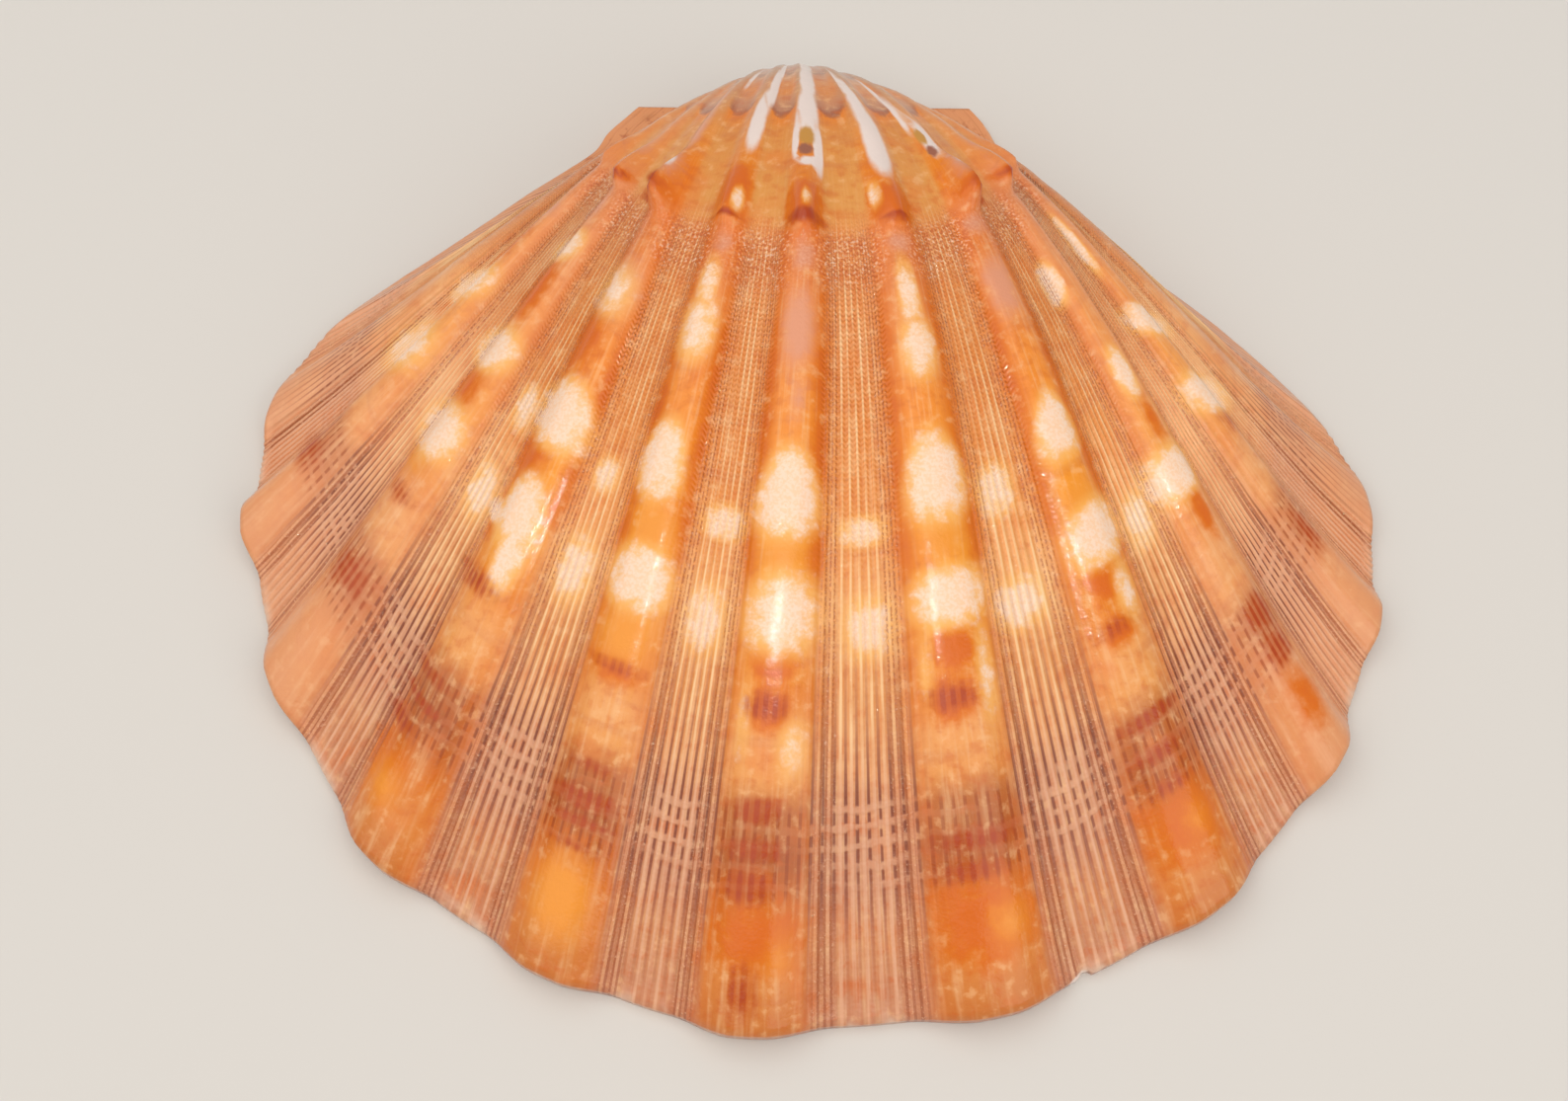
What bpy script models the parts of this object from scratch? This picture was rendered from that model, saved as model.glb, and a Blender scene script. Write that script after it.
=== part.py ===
"""One valve of a lion's paw scallop, lying on its rim with the ribbed outside up.

The rim is one plane curve. Shrunk towards the beak while it turns about the straight hinge line, it
sweeps the whole outside, ears included, as the shell did while it grew. The inside is the same
sweep drawn in, so the wall follows the ribs.

Two numbers name a point: its place along the rim, counted in ribs from the middle one (the ears end
at -8 and 8), and its size, which is 0 at the beak and 1 at the rim.
"""

import bmesh
import bpy
import numpy as np

# Driving dimensions, in metres
SHELL_HEIGHT = 0.130
RIB_RISE = 0.0032
KNOB_RISE = 0.0024
RIM_EDGE = 0.0016

# The rim seen from above: place, bearing from the beak in degrees, reach as a share of the height
RIM = (
    (-8.0, -90.0, 0.167),
    (-7.6, -85.5, 0.181),
    (-7.2, -80.0, 0.203),
    (-6.8, -75.0, 0.219),
    (-6.4, -69.0, 0.290),
    (-6.0, -64.0, 0.396),
    (-5.5, -59.5, 0.560),
    (-5.0, -54.5, 0.646),
    (-4.0, -46.5, 0.735),
    (-3.0, -36.0, 0.831),
    (-2.0, -24.5, 0.922),
    (-1.0, -13.0, 0.971),
    (0.0, -2.0, 1.000),
    (1.0, 11.0, 0.998),
    (2.0, 24.0, 0.965),
    (3.0, 34.8, 0.903),
    (4.0, 43.5, 0.829),
    (5.0, 50.5, 0.748),
    (5.5, 54.5, 0.672),
    (6.0, 58.5, 0.530),
    (6.4, 64.5, 0.315),
    (6.8, 71.0, 0.255),
    (7.2, 77.0, 0.230),
    (7.6, 83.0, 0.214),
    (8.0, 90.0, 0.194),
)

# How the shell grew
COIL = 1.634  # the size grows e-fold in each 1 / COIL of a radian turned
SPREAD = (0.15, 0.34)  # the bearings open out towards the beak
LEAN = (-0.018, 0.141)  # and the ribs lean to one side there, in radians

# Ribs: shares of a rib spacing, and how high each rib stands beside the middle ones
CREST_FLAT = 0.06
RIB_FOOT = 0.36
OUTER_RIB_RISE = 0.45
RIBS_A_SIDE = 5

# Knobs on the ribs: the size at which they stand, their slopes and their share of the rise
KNOB_SIZE = 0.352
KNOB_BACK = 0.08
KNOB_FRONT = 0.022
KNOB_HALF_WIDTH = 0.27
KNOB_SHARE = {-3: 0.5, -2: 1.0, -1: 0.45, 0: 0.9, 1: 0.45, 2: 1.0, 3: 0.6}

# The inside, as shares of the outside
INSIDE_CENTRE = np.array([0.0, -0.45, 0.0]) * SHELL_HEIGHT
INSIDE_SHARE = np.array([0.965, 0.965, 0.94])
INSIDE_RIB_SHARE = 0.65
RIM_ARCH_SHARE = 0.75

# The net of points
SHOULDER = 5.5
RIB_STEPS = 10
FLANK_STEPS = 11
BEAK_SIZES = (0.05, 0.08, 0.12, 0.17, 0.22, 0.27)
KNOB_SIZES = (0.305, 0.33, 0.348, 0.356, 0.366, 0.376)
DISC_SIZES = np.linspace(0.42, 1.0, 13)
HALF_NET_BELOW = 0.30
QUARTER_NET_BELOW = 0.10
INSIDE_SIZES = (0.13, 0.19, 0.26, 0.34, 0.42, 0.50, 0.58, 0.66, 0.74, 0.82, 0.89, 0.95, 1.0)

SHELL_COLOUR = (0.78, 0.42, 0.22, 1.0)
SHELL_ROUGHNESS = 0.3
SHARP_EDGE_ANGLE = np.radians(50)
NUDGE = 1e-4


def clear_scene():
    for obj in list(bpy.data.objects):
        bpy.data.objects.remove(obj, do_unlink=True)


def ease(share):
    """0 to 1 with a level start and end."""
    share = np.clip(share, 0.0, 1.0)
    return share * share * (3.0 - 2.0 * share)


def knot_slopes(gaps, rises):
    """Slopes at the knots that keep each span between its ends, with no overshoot."""
    slopes = np.concatenate([rises[:1], np.zeros(len(rises) - 1), rises[-1:]])
    before = gaps[1:] + 2.0 * gaps[:-1]
    after = 2.0 * gaps[1:] + gaps[:-1]
    same_way = rises[:-1] * rises[1:] > 0
    safe_left = np.where(same_way, rises[:-1], 1.0)
    safe_right = np.where(same_way, rises[1:], 1.0)
    mean = (before + after) / (after / safe_left + before / safe_right)
    slopes[1:-1] = np.where(same_way, mean, 0.0)
    return slopes


def smooth_line(knots, values, at):
    """The smooth curve through the values, read at the given points."""
    knots = np.asarray(knots)
    values = np.asarray(values)
    gaps = np.diff(knots)
    slopes = knot_slopes(gaps, np.diff(values) / gaps)
    span = np.clip(np.searchsorted(knots, at) - 1, 0, len(knots) - 2)
    along = (at - knots[span]) / gaps[span]
    rest = 1.0 - along
    ends = values[span] * (1.0 + 2.0 * along) * rest**2 + values[span + 1] * along**2 * (3.0 - 2.0 * along)
    bends = gaps[span] * along * rest * (slopes[span] * rest - slopes[span + 1] * along)
    return ends + bends


def swept_point(size, place):
    """A point of the ribless outside, measured from the beak."""
    places, bearings, reaches = np.array(RIM).T
    bearing = np.radians(smooth_line(places, bearings, place))
    reach = size * SHELL_HEIGHT * smooth_line(places, reaches, place)
    back = size - 1.0
    hinge_hold = 1.0 - (bearing / (np.pi / 2)) ** 4
    opening = bearing * (SPREAD[0] * back + SPREAD[1] * back**2)
    lean = LEAN[0] * back + LEAN[1] * back**2
    bearing = bearing + hinge_hold * (opening + lean)
    turn = np.log(1.0 / size) / COIL
    forward = reach * np.cos(bearing)
    return np.stack([reach * np.sin(bearing), -forward * np.cos(turn), forward * np.sin(turn)], -1)


def outward(size, place):
    """The unit normal of the ribless outside."""
    along_growth = swept_point(size, place) - swept_point(size * (1.0 - NUDGE), place)
    before = np.maximum(place - NUDGE, RIM[0][0])
    after = np.minimum(place + NUDGE, RIM[-1][0])
    along_rim = swept_point(size, after) - swept_point(size, before)
    normal = np.cross(along_growth, along_rim)
    return normal / np.linalg.norm(normal, axis=-1, keepdims=True)


def rib_rise(size, place):
    """How far the ribs stand out, which grows with the shell."""
    rib = np.round(place)
    from_crest = np.abs(place - rib)
    profile = 1.0 - ease((from_crest - CREST_FLAT) / (RIB_FOOT - CREST_FLAT))
    share = np.where(np.abs(rib) < RIBS_A_SIDE, 1.0, OUTER_RIB_RISE)
    share = np.where(np.abs(rib) > RIBS_A_SIDE, 0.0, share)
    return RIB_RISE * size * share * profile


def knob_rise(size, place):
    """The row of knobs: a long back towards the beak and a steep front."""
    rib = np.round(place)
    share = np.vectorize(lambda number: KNOB_SHARE.get(int(number), 0.0))(rib)
    across = 1.0 - ease(np.abs(place - rib) / KNOB_HALF_WIDTH)
    back = ease((size - KNOB_SIZE + KNOB_BACK) / KNOB_BACK)
    front = 1.0 - ease((size - KNOB_SIZE) / KNOB_FRONT)
    return KNOB_RISE * share * across * back * front


def outside_point(size, place):
    rise = rib_rise(size, place) + knob_rise(size, place)
    point = swept_point(size, place) + outward(size, place) * rise[..., None]
    return point + np.array([0.0, 0.0, RIM_EDGE])


def rim_foot_point(size, place):
    """The lower corner of the rim's edge: level between the ribs, arched under each of them."""
    rib = outward(size, place) * rib_rise(size, place)[..., None]
    return swept_point(size, place) + rib * np.array([1.0, 1.0, RIM_ARCH_SHARE])


def inside_point(size, place):
    rib = outward(size, place) * rib_rise(size, place)[..., None] * INSIDE_RIB_SHARE
    point = swept_point(size, place) + rib
    return INSIDE_CENTRE + INSIDE_SHARE * (point - INSIDE_CENTRE)


def net_places():
    """Places from one end of the hinge round the rim to the other."""
    disc = np.linspace(-SHOULDER, SHOULDER, round(2 * SHOULDER) * RIB_STEPS + 1)
    flank = np.linspace(SHOULDER, RIM[-1][0], FLANK_STEPS + 1)[1:]
    return np.concatenate([-flank[::-1], disc, flank])


def net_stride(size):
    if size < QUARTER_NET_BELOW:
        return 4
    return 2 if size < HALF_NET_BELOW else 1


class Net:
    """Points, and the triangles woven between rows of them. A row is a list of (key, point number)."""

    def __init__(self):
        self.points = []
        self.triangles = []

    def row(self, keys, points):
        first = len(self.points)
        self.points.extend(points)
        return [(key, first + step) for step, key in enumerate(keys)]

    def weave(self, near, far):
        """Fills the strip between two rows whose keys rise together."""
        i = 0
        j = 0
        while i < len(near) - 1 or j < len(far) - 1:
            far_done = j == len(far) - 1
            if far_done or (i < len(near) - 1 and near[i + 1][0] <= far[j + 1][0]):
                self.triangles.append((near[i][1], near[i + 1][1], far[j][1]))
                i += 1
            else:
                self.triangles.append((near[i][1], far[j + 1][1], far[j][1]))
                j += 1


def sheet_rows(net, point_at, sizes, strides):
    """One swept sheet, woven from its smallest row to its largest."""
    rows = []
    for size, stride in zip(sizes, strides):
        places = net_places()[::stride]
        rows.append(net.row(places, point_at(np.full(len(places), size), places)))
    for small, large in zip(rows, rows[1:]):
        net.weave(small, large)
    return rows


def hinge_row(rows, sizes, beak):
    """The edge along the hinge line, from the left end through the beak to the right end."""
    left = [(-size, row[0][1]) for size, row in zip(sizes, rows)][::-1]
    right = [(size, row[-1][1]) for size, row in zip(sizes, rows)]
    return left + beak + right


def valve_net():
    net = Net()
    outside_sizes = np.concatenate([BEAK_SIZES, KNOB_SIZES, DISC_SIZES])
    outside_rows = sheet_rows(net, outside_point, outside_sizes, [net_stride(size) for size in outside_sizes])
    beak = net.row([0.0], [np.array([0.0, 0.0, RIM_EDGE])])
    net.weave(outside_rows[0], beak)

    inside_strides = [2] * (len(INSIDE_SIZES) - 1) + [1]
    inside_rows = sheet_rows(net, inside_point, INSIDE_SIZES, inside_strides)
    inner_beak = net.row([0.0], [INSIDE_CENTRE * (1.0 - INSIDE_SHARE)])
    net.weave(inside_rows[0], inner_beak)

    places = net_places()
    foot = net.row(places, rim_foot_point(np.ones(len(places)), places))
    net.weave(outside_rows[-1], foot)
    net.weave(foot, inside_rows[-1])

    upper_hinge = hinge_row(outside_rows, outside_sizes, beak)
    small_sizes = outside_sizes[:-1]
    ends = [swept_point(np.full(2, size), np.array([RIM[0][0], RIM[-1][0]])) for size in small_sizes]
    foot_rows = [net.row([0.0, 1.0], pair) for pair in ends] + [foot]
    foot_beak = net.row([0.0], [np.zeros(3)])
    foot_hinge = hinge_row(foot_rows, outside_sizes, foot_beak)
    net.weave(upper_hinge, foot_hinge)
    net.weave(foot_hinge, hinge_row(inside_rows, INSIDE_SIZES, inner_beak))
    return net


def stand_on_origin(points):
    """Moves the shell so that the origin is under the middle of its box."""
    low = points.min(axis=0)
    high = points.max(axis=0)
    return points - np.array([(low[0] + high[0]) / 2, (low[1] + high[1]) / 2, low[2]])


def shell_material():
    material = bpy.data.materials.new("polished_shell")
    material.use_nodes = True
    shader = material.node_tree.nodes["Principled BSDF"]
    shader.inputs["Base Color"].default_value = SHELL_COLOUR
    shader.inputs["Roughness"].default_value = SHELL_ROUGHNESS
    shader.inputs["Metallic"].default_value = 0.0
    return material


def make_valve():
    net = valve_net()
    shape = bmesh.new()
    corners = [shape.verts.new(point) for point in stand_on_origin(np.array(net.points))]
    for triangle in net.triangles:
        shape.faces.new([corners[number] for number in triangle])
    bmesh.ops.recalc_face_normals(shape, faces=shape.faces)
    mesh = bpy.data.meshes.new("valve")
    shape.to_mesh(mesh)
    shape.free()
    mesh.materials.append(shell_material())
    mesh.shade_smooth()
    mesh.set_sharp_from_angle(angle=SHARP_EDGE_ANGLE)
    valve = bpy.data.objects.new("valve", mesh)
    bpy.context.scene.collection.objects.link(valve)


clear_scene()
make_valve()
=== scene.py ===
"""The looks of one valve of a lion's paw scallop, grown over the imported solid.

The valve is made the way the shell grew: its rim, one plane curve, shrinks towards the beak while it
turns about the hinge line. Two numbers name a point on it: its place along the rim, counted in ribs
from the middle one (the ears end at -8 and 8), and its size, 0 at the beak and 1 at the rim.
"""

import math

import bpy
import numpy as np
from mathutils import Matrix, Vector


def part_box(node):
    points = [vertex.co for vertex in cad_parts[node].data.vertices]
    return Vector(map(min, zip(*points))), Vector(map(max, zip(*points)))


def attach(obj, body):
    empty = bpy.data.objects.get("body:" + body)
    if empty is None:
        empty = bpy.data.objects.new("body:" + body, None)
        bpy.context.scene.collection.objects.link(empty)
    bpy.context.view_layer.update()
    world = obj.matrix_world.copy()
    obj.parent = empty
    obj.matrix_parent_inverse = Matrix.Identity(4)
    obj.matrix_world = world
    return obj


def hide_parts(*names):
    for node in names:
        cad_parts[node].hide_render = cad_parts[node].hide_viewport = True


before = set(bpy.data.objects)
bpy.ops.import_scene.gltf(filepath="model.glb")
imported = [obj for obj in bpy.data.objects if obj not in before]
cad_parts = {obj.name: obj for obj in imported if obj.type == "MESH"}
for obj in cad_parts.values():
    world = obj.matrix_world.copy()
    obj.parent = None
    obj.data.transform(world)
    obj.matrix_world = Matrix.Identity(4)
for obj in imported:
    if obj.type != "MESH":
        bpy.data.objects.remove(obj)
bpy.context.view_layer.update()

bl_info = {
    "name": "Lion's paw scallop valve",
    "version": (1, 0, 0),
    "blender": (4, 5, 0),
    "location": "3D View > Sidebar > Shell",
    "description": "Grows a ribbed scallop valve over its solid and sets it on a pale floor",
    "category": "Add Mesh",
}

# The rim seen from above: place, bearing from the beak in degrees, reach as a share of the height
RIM = (
    (-8.0, -90.0, 0.167),
    (-7.6, -85.5, 0.181),
    (-7.2, -80.0, 0.203),
    (-6.8, -75.0, 0.219),
    (-6.4, -69.0, 0.290),
    (-6.0, -64.0, 0.396),
    (-5.5, -59.5, 0.560),
    (-5.0, -54.5, 0.646),
    (-4.0, -46.5, 0.735),
    (-3.0, -36.0, 0.831),
    (-2.0, -24.5, 0.922),
    (-1.0, -13.0, 0.971),
    (0.0, -2.0, 1.000),
    (1.0, 11.0, 0.998),
    (2.0, 24.0, 0.965),
    (3.0, 34.8, 0.903),
    (4.0, 43.5, 0.829),
    (5.0, 50.5, 0.748),
    (5.5, 54.5, 0.672),
    (6.0, 58.5, 0.530),
    (6.4, 64.5, 0.315),
    (6.8, 71.0, 0.255),
    (7.2, 77.0, 0.230),
    (7.6, 83.0, 0.214),
    (8.0, 90.0, 0.194),
)
RIM_END = RIM[-1][0]

# How the shell grew
SHELL_HEIGHT = 0.130
RIB_SPACING = 0.020
SPREAD = (0.15, 0.34)
LEAN = (-0.018, 0.141)

# Ribs and the fine riblets between them, in shares of a rib spacing
CREST_FLAT = 0.06
RIB_FOOT = 0.36
RIB_SHARE = {-5: 0.45, 4: 0.7, 5: 0.35}
RIBS_A_SIDE = 5
RIBLETS_A_RIB = 18
CREST_HALF_WIDTH = 0.2

# Knobs on the ribs: the size at which they stand, their slopes and their share of the rise
KNOB_SIZE = 0.352
KNOB_BACK = 0.08
KNOB_FRONT = 0.018
KNOB_HALF_WIDTH = 0.26
KNOB_SHARE = {-4: 0.5, -3: 0.8, -2: 1.5, -1: 0.55, 0: 0.9, 1: 0.6, 2: 1.5, 3: 0.9, 4: 0.5}
KNOB_LEAN = 0.05

# The inside, as shares of the outside
INSIDE_CENTRE = (0.0, -0.45 * SHELL_HEIGHT, 0.0)
INSIDE_SHARE = (0.965, 0.965, 0.94)
INSIDE_RIB_SHARE = 0.65
RIM_ARCH_SHARE = 0.75

# The three sheets of the net
OUTSIDE, FOOT, INSIDE = 0, 1, 2

# The net: where the even places end, the beak's own point, and rows from one size to another
SHOULDER = 5.5
FLANK_PLACES = 48
BEAK_TIP = 1e-4
YOUNG_ROWS = (0.010, 0.24, 28)
OUTSIDE_ROWS = ((0.24, 0.42, 31), (0.42, 0.82, 64), (0.82, 0.90, 22), (0.90, 1.0, 17))
INNER_YOUNG_ROWS = (0.08, 0.3, 12)
INNER_ROWS = (0.3, 1.0, 42)
# Below each of these sizes a row takes only every so many places
STRIDES = ((0.10, 8), (0.24, 4), (0.42, 2))
INNER_STRIDE = 4
FEWEST_TRIANGLES = 100000

# The dark band's near and far edges, and how strongly the grooves show, by size
BAND_START = (0.822, 0.832)
BAND_END = (0.900, 0.888)
GROOVE_STRENGTH = (
    (0.34, 0.0),
    (0.42, 0.07),
    (0.66, 0.10),
    (0.74, 0.35),
    (0.83, 0.93),
    (0.90, 0.86),
    (0.95, 0.39),
    (1.00, 0.10),
)

# Hollows left by growth, 6 mm across: turns a metre, detail and seed of their noise
HOLLOW_SCALE = 160.0
HOLLOW_DETAIL = 2.0
HOLLOW_SEED = 3.0

# Heights of the relief that only the material gives, in metres
SCALE_HEIGHT = 0.00005
LINE_HEIGHT = 0.00012
FINE_HEIGHT = 0.00007
GRAIN_HEIGHT = 0.00002
THREAD_HEIGHT = 0.00012

# Calcite bends light this much
CALCITE_IOR = 1.53
# The pigment is deeper, a shade yellower and a little stronger than its flat colours
PIGMENT_DEPTH = 1.18
PIGMENT_HUE = 0.503
PIGMENT_STRENGTH = 1.04
# Fine wear under the polish keeps down the reflection of bare calcite, which 0.5 would give in full
WORN_REFLECTION = 0.25
# Roughness of the calcite, from its glossiest spots, and how much the mottle adds
GLOSS = 0.24
GLOSS_CHANGE = 0.20
# The clear polish over it
POLISH = 0.5
POLISH_ROUGHNESS = 0.05

# The beak in the solid's box: from its middle across, and from its far side, which the curl passes
BEAK_FROM_BOX = (-0.00256, -0.00178)

# Where the photograph was taken from, measured from the beak, and its lens
CAMERA_FROM_BEAK = Vector((0.0, -0.1806, 0.2598))
TARGET_FROM_BEAK = Vector((-0.00063, -0.07369, 0.01337))
LENS_PIXELS = 2200.0
IMAGE_WIDTH = 1588.0
SENSOR_WIDTH = 36.0

# The floor's half width, the room, and the lamps: place from the shell's middle, width, share of power
FLOOR_HALF = 2.0
PAPER_ROUGHNESS = 0.9
ROOM_COLOUR = "#f2f2f5"
ROOM_LIGHT = 0.5
LAMP_COLOUR = "#fff6ea"
LAMPS = {
    "softbox": ((-0.35, 0.0, 0.9), 1.9, 1.0),
    "fill": ((0.6, -0.5, 0.6), 0.8, 0.3),
    "sparkle": ((-0.02, -0.19, 0.85), 0.035, 0.155),
}


def linear(code):
    """An sRGB hex colour as linear red, green, blue and a full alpha."""
    parts = [int(code[i : i + 2], 16) / 255.0 for i in (1, 3, 5)]
    return tuple(c / 12.92 if c <= 0.04045 else ((c + 0.055) / 1.055) ** 2.4 for c in parts) + (1.0,)


def ease(share):
    """0 to 1 with a level start and end."""
    share = np.clip(share, 0.0, 1.0)
    return share * share * (3.0 - 2.0 * share)


def rise(value, start, end):
    """0 at the start and 1 at the end, which may be the smaller, with an even run between."""
    return ease((value - start) / (end - start))


def knot_slopes(gaps, rises):
    """Slopes at the knots that keep each span between its ends, with no overshoot."""
    slopes = np.concatenate([rises[:1], np.zeros(len(rises) - 1), rises[-1:]])
    before = gaps[1:] + 2.0 * gaps[:-1]
    after = 2.0 * gaps[1:] + gaps[:-1]
    same_way = rises[:-1] * rises[1:] > 0
    safe_left = np.where(same_way, rises[:-1], 1.0)
    safe_right = np.where(same_way, rises[1:], 1.0)
    mean = (before + after) / (after / safe_left + before / safe_right)
    slopes[1:-1] = np.where(same_way, mean, 0.0)
    return slopes


def smooth_line(knots, values, at):
    """The smooth curve through the values, read at the given points."""
    knots = np.asarray(knots)
    values = np.asarray(values)
    gaps = np.diff(knots)
    slopes = knot_slopes(gaps, np.diff(values) / gaps)
    span = np.clip(np.searchsorted(knots, at) - 1, 0, len(knots) - 2)
    along = (at - knots[span]) / gaps[span]
    rest = 1.0 - along
    ends = values[span] * (1.0 + 2.0 * along) * rest**2 + values[span + 1] * along**2 * (3.0 - 2.0 * along)
    bends = gaps[span] * along * rest * (slopes[span] * rest - slopes[span + 1] * along)
    return ends + bends


def outline_point(size, place):
    """The rim at full size seen from above, with the bearings as they were at that size."""
    places, bearings, reaches = np.array(RIM).T
    bearing = np.radians(smooth_line(places, bearings, place))
    reach = SHELL_HEIGHT * smooth_line(places, reaches, place)
    back = size - 1.0
    hinge_hold = 1.0 - (bearing / (np.pi / 2)) ** 4
    opening = bearing * (SPREAD[0] * back + SPREAD[1] * back**2)
    lean = LEAN[0] * back + LEAN[1] * back**2
    bearing = bearing + hinge_hold * (opening + lean)
    return np.stack([reach * np.sin(bearing), -reach * np.cos(bearing), np.zeros_like(reach)], -1)


def outline_run(size, place):
    """How the outline runs on from one place to the next."""
    nudge = 1e-4
    before = np.maximum(place - nudge, -RIM_END)
    after = np.minimum(place + nudge, RIM_END)
    run = outline_point(size, after) - outline_point(size, before)
    return run / (after - before)[:, None]


def rib_profile(place):
    """1 on a rib's crest and 0 between the ribs."""
    rib = np.round(place)
    share = np.vectorize(lambda number: RIB_SHARE.get(int(number), 1.0))(rib)
    profile = rise(np.abs(place - rib), RIB_FOOT, CREST_FLAT)
    return np.where(np.abs(rib) > RIBS_A_SIDE, 0.0, share) * profile


def knob_profile(size, place):
    """The row of knobs: a long back towards the beak and a steep front."""
    rib = np.round(place)
    share = np.vectorize(lambda number: KNOB_SHARE.get(int(number), 0.0))(rib)
    across = rise(np.abs(place - rib - KNOB_LEAN * rib), KNOB_HALF_WIDTH, 0.0)
    back = rise(size, KNOB_SIZE - KNOB_BACK, KNOB_SIZE)
    front = rise(size, KNOB_SIZE + KNOB_FRONT, KNOB_SIZE)
    return share * across * back * front


def riblet_profile(size, place):
    """Fine riblets between the ribs, faint on the crests and on the young shell."""
    wave = np.cos(2.0 * np.pi * RIBLETS_A_RIB * place)
    between = 0.12 + 0.88 * rise(np.abs(place - np.round(place)), 0.14, 0.30)
    grown = 0.25 + 0.75 * rise(size, 0.37, 0.72)
    coarser = 1.0 + 0.7 * rise(np.abs(place), 4.0, 4.7)
    started = rise(size, 0.33, 0.39)
    at_rim = 1.0 - 0.8 * rise(size, 0.975, 0.995)
    to_ears = rise(np.abs(place), 6.6, 6.0)
    return wave * between * grown * coarser * started * at_rim * to_ears


def net_places():
    """Places round the rim: four to a riblet between the ribs, fewer on the crests and the ears."""
    step = 1.0 / (4 * RIBLETS_A_RIB)
    half = round(SHOULDER / step)
    numbers = np.arange(-half, half + 1)
    rib = np.round(numbers * step)
    from_crest = numbers - np.round(rib / step).astype(int)
    on_crest = np.abs(from_crest) * step < CREST_HALF_WIDTH
    kept = ~on_crest | (from_crest % 3 == 0)
    flank = np.linspace(SHOULDER, RIM_END, FLANK_PLACES + 1)[1:]
    return np.concatenate([-flank[::-1], numbers[kept] * step, flank])


def outside_sizes():
    """Growth rows, closest in the dark band."""
    spans = [np.linspace(*span)[1:] for span in OUTSIDE_ROWS]
    return np.concatenate([np.geomspace(*YOUNG_ROWS), *spans])


def outside_stride(size):
    """How many places a row steps over, since the places crowd towards the beak."""
    return next((stride for limit, stride in STRIDES if size < limit), 1)


class Net:
    """Chart points, and the triangles woven between rows of them. A row is a list of (key, number)."""

    def __init__(self):
        self.chart = []
        self.triangles = []

    def row(self, size, places, side):
        """Adds a row of points to one side: the outside, the foot of the edge or the inside."""
        first = len(self.chart)
        self.chart.extend((place, size, side) for place in places)
        return [(place, first + step) for step, place in enumerate(places)]

    def weave(self, near, far):
        """Fills the strip between two rows whose keys rise together."""
        i = 0
        j = 0
        while i < len(near) - 1 or j < len(far) - 1:
            far_done = j == len(far) - 1
            if far_done or (i < len(near) - 1 and near[i + 1][0] <= far[j + 1][0]):
                self.triangles.append((near[i][1], near[i + 1][1], far[j][1]))
                i += 1
            else:
                self.triangles.append((near[i][1], far[j + 1][1], far[j][1]))
                j += 1


def sheet_rows(net, side, sizes, strides):
    """One swept sheet, woven row by row so that the outside faces up and the inside down."""
    rows = []
    for size, stride in zip(sizes, strides):
        places = net_places()
        last = len(places) - 1
        numbers = [n for n in range(0, last + 1) if (n - last // 2) % stride == 0 or n in (0, last)]
        rows.append(net.row(size, places[numbers], side))
    for small, large in zip(rows, rows[1:]):
        if side == OUTSIDE:
            net.weave(large, small)
        else:
            net.weave(small, large)
    return rows


def hinge_row(rows, sizes, beak):
    """The edge along the hinge line, from the left end through the beak to the right end."""
    left = [(-size, row[0][1]) for size, row in zip(sizes, rows)][::-1]
    right = [(size, row[-1][1]) for size, row in zip(sizes, rows)]
    return left + beak + right


def valve_net():
    """The closed net: outside, rim foot, inside and the three strips of the hinge edge."""
    net = Net()
    sizes = outside_sizes()
    outside = sheet_rows(net, OUTSIDE, sizes, [outside_stride(size) for size in sizes])
    beak = [(0.0, net.row(BEAK_TIP, [0.0], OUTSIDE)[0][1])]
    net.weave(outside[0], beak)

    inner_sizes = np.concatenate([np.geomspace(*INNER_YOUNG_ROWS), np.linspace(*INNER_ROWS)[1:]])
    strides = [INNER_STRIDE] * (len(inner_sizes) - 1) + [1]
    inside = sheet_rows(net, INSIDE, inner_sizes, strides)
    inner_beak = [(0.0, net.row(BEAK_TIP, [0.0], INSIDE)[0][1])]
    net.weave(inner_beak, inside[0])

    foot = net.row(1.0, net_places(), FOOT)
    net.weave(foot, outside[-1])
    net.weave(inside[-1], foot)

    ends = np.array([-RIM_END, RIM_END])
    foot_rows = [net.row(size, ends, FOOT) for size in sizes[:-1]] + [foot]
    foot_beak = [(0.0, net.row(BEAK_TIP, [0.0], FOOT)[0][1])]
    foot_hinge = hinge_row(foot_rows, sizes, foot_beak)
    net.weave(hinge_row(outside, sizes, beak), foot_hinge)
    net.weave(foot_hinge, hinge_row(inside, inner_sizes, inner_beak))
    return net


# How round a mark is: 2 is an oval, and larger numbers square it off
ROUNDNESS = 2.3

# The small chip in the rim: its place, its half width in ribs and how much of the reach it takes
CHIP = (1.385, 0.032, 0.0045)

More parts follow.
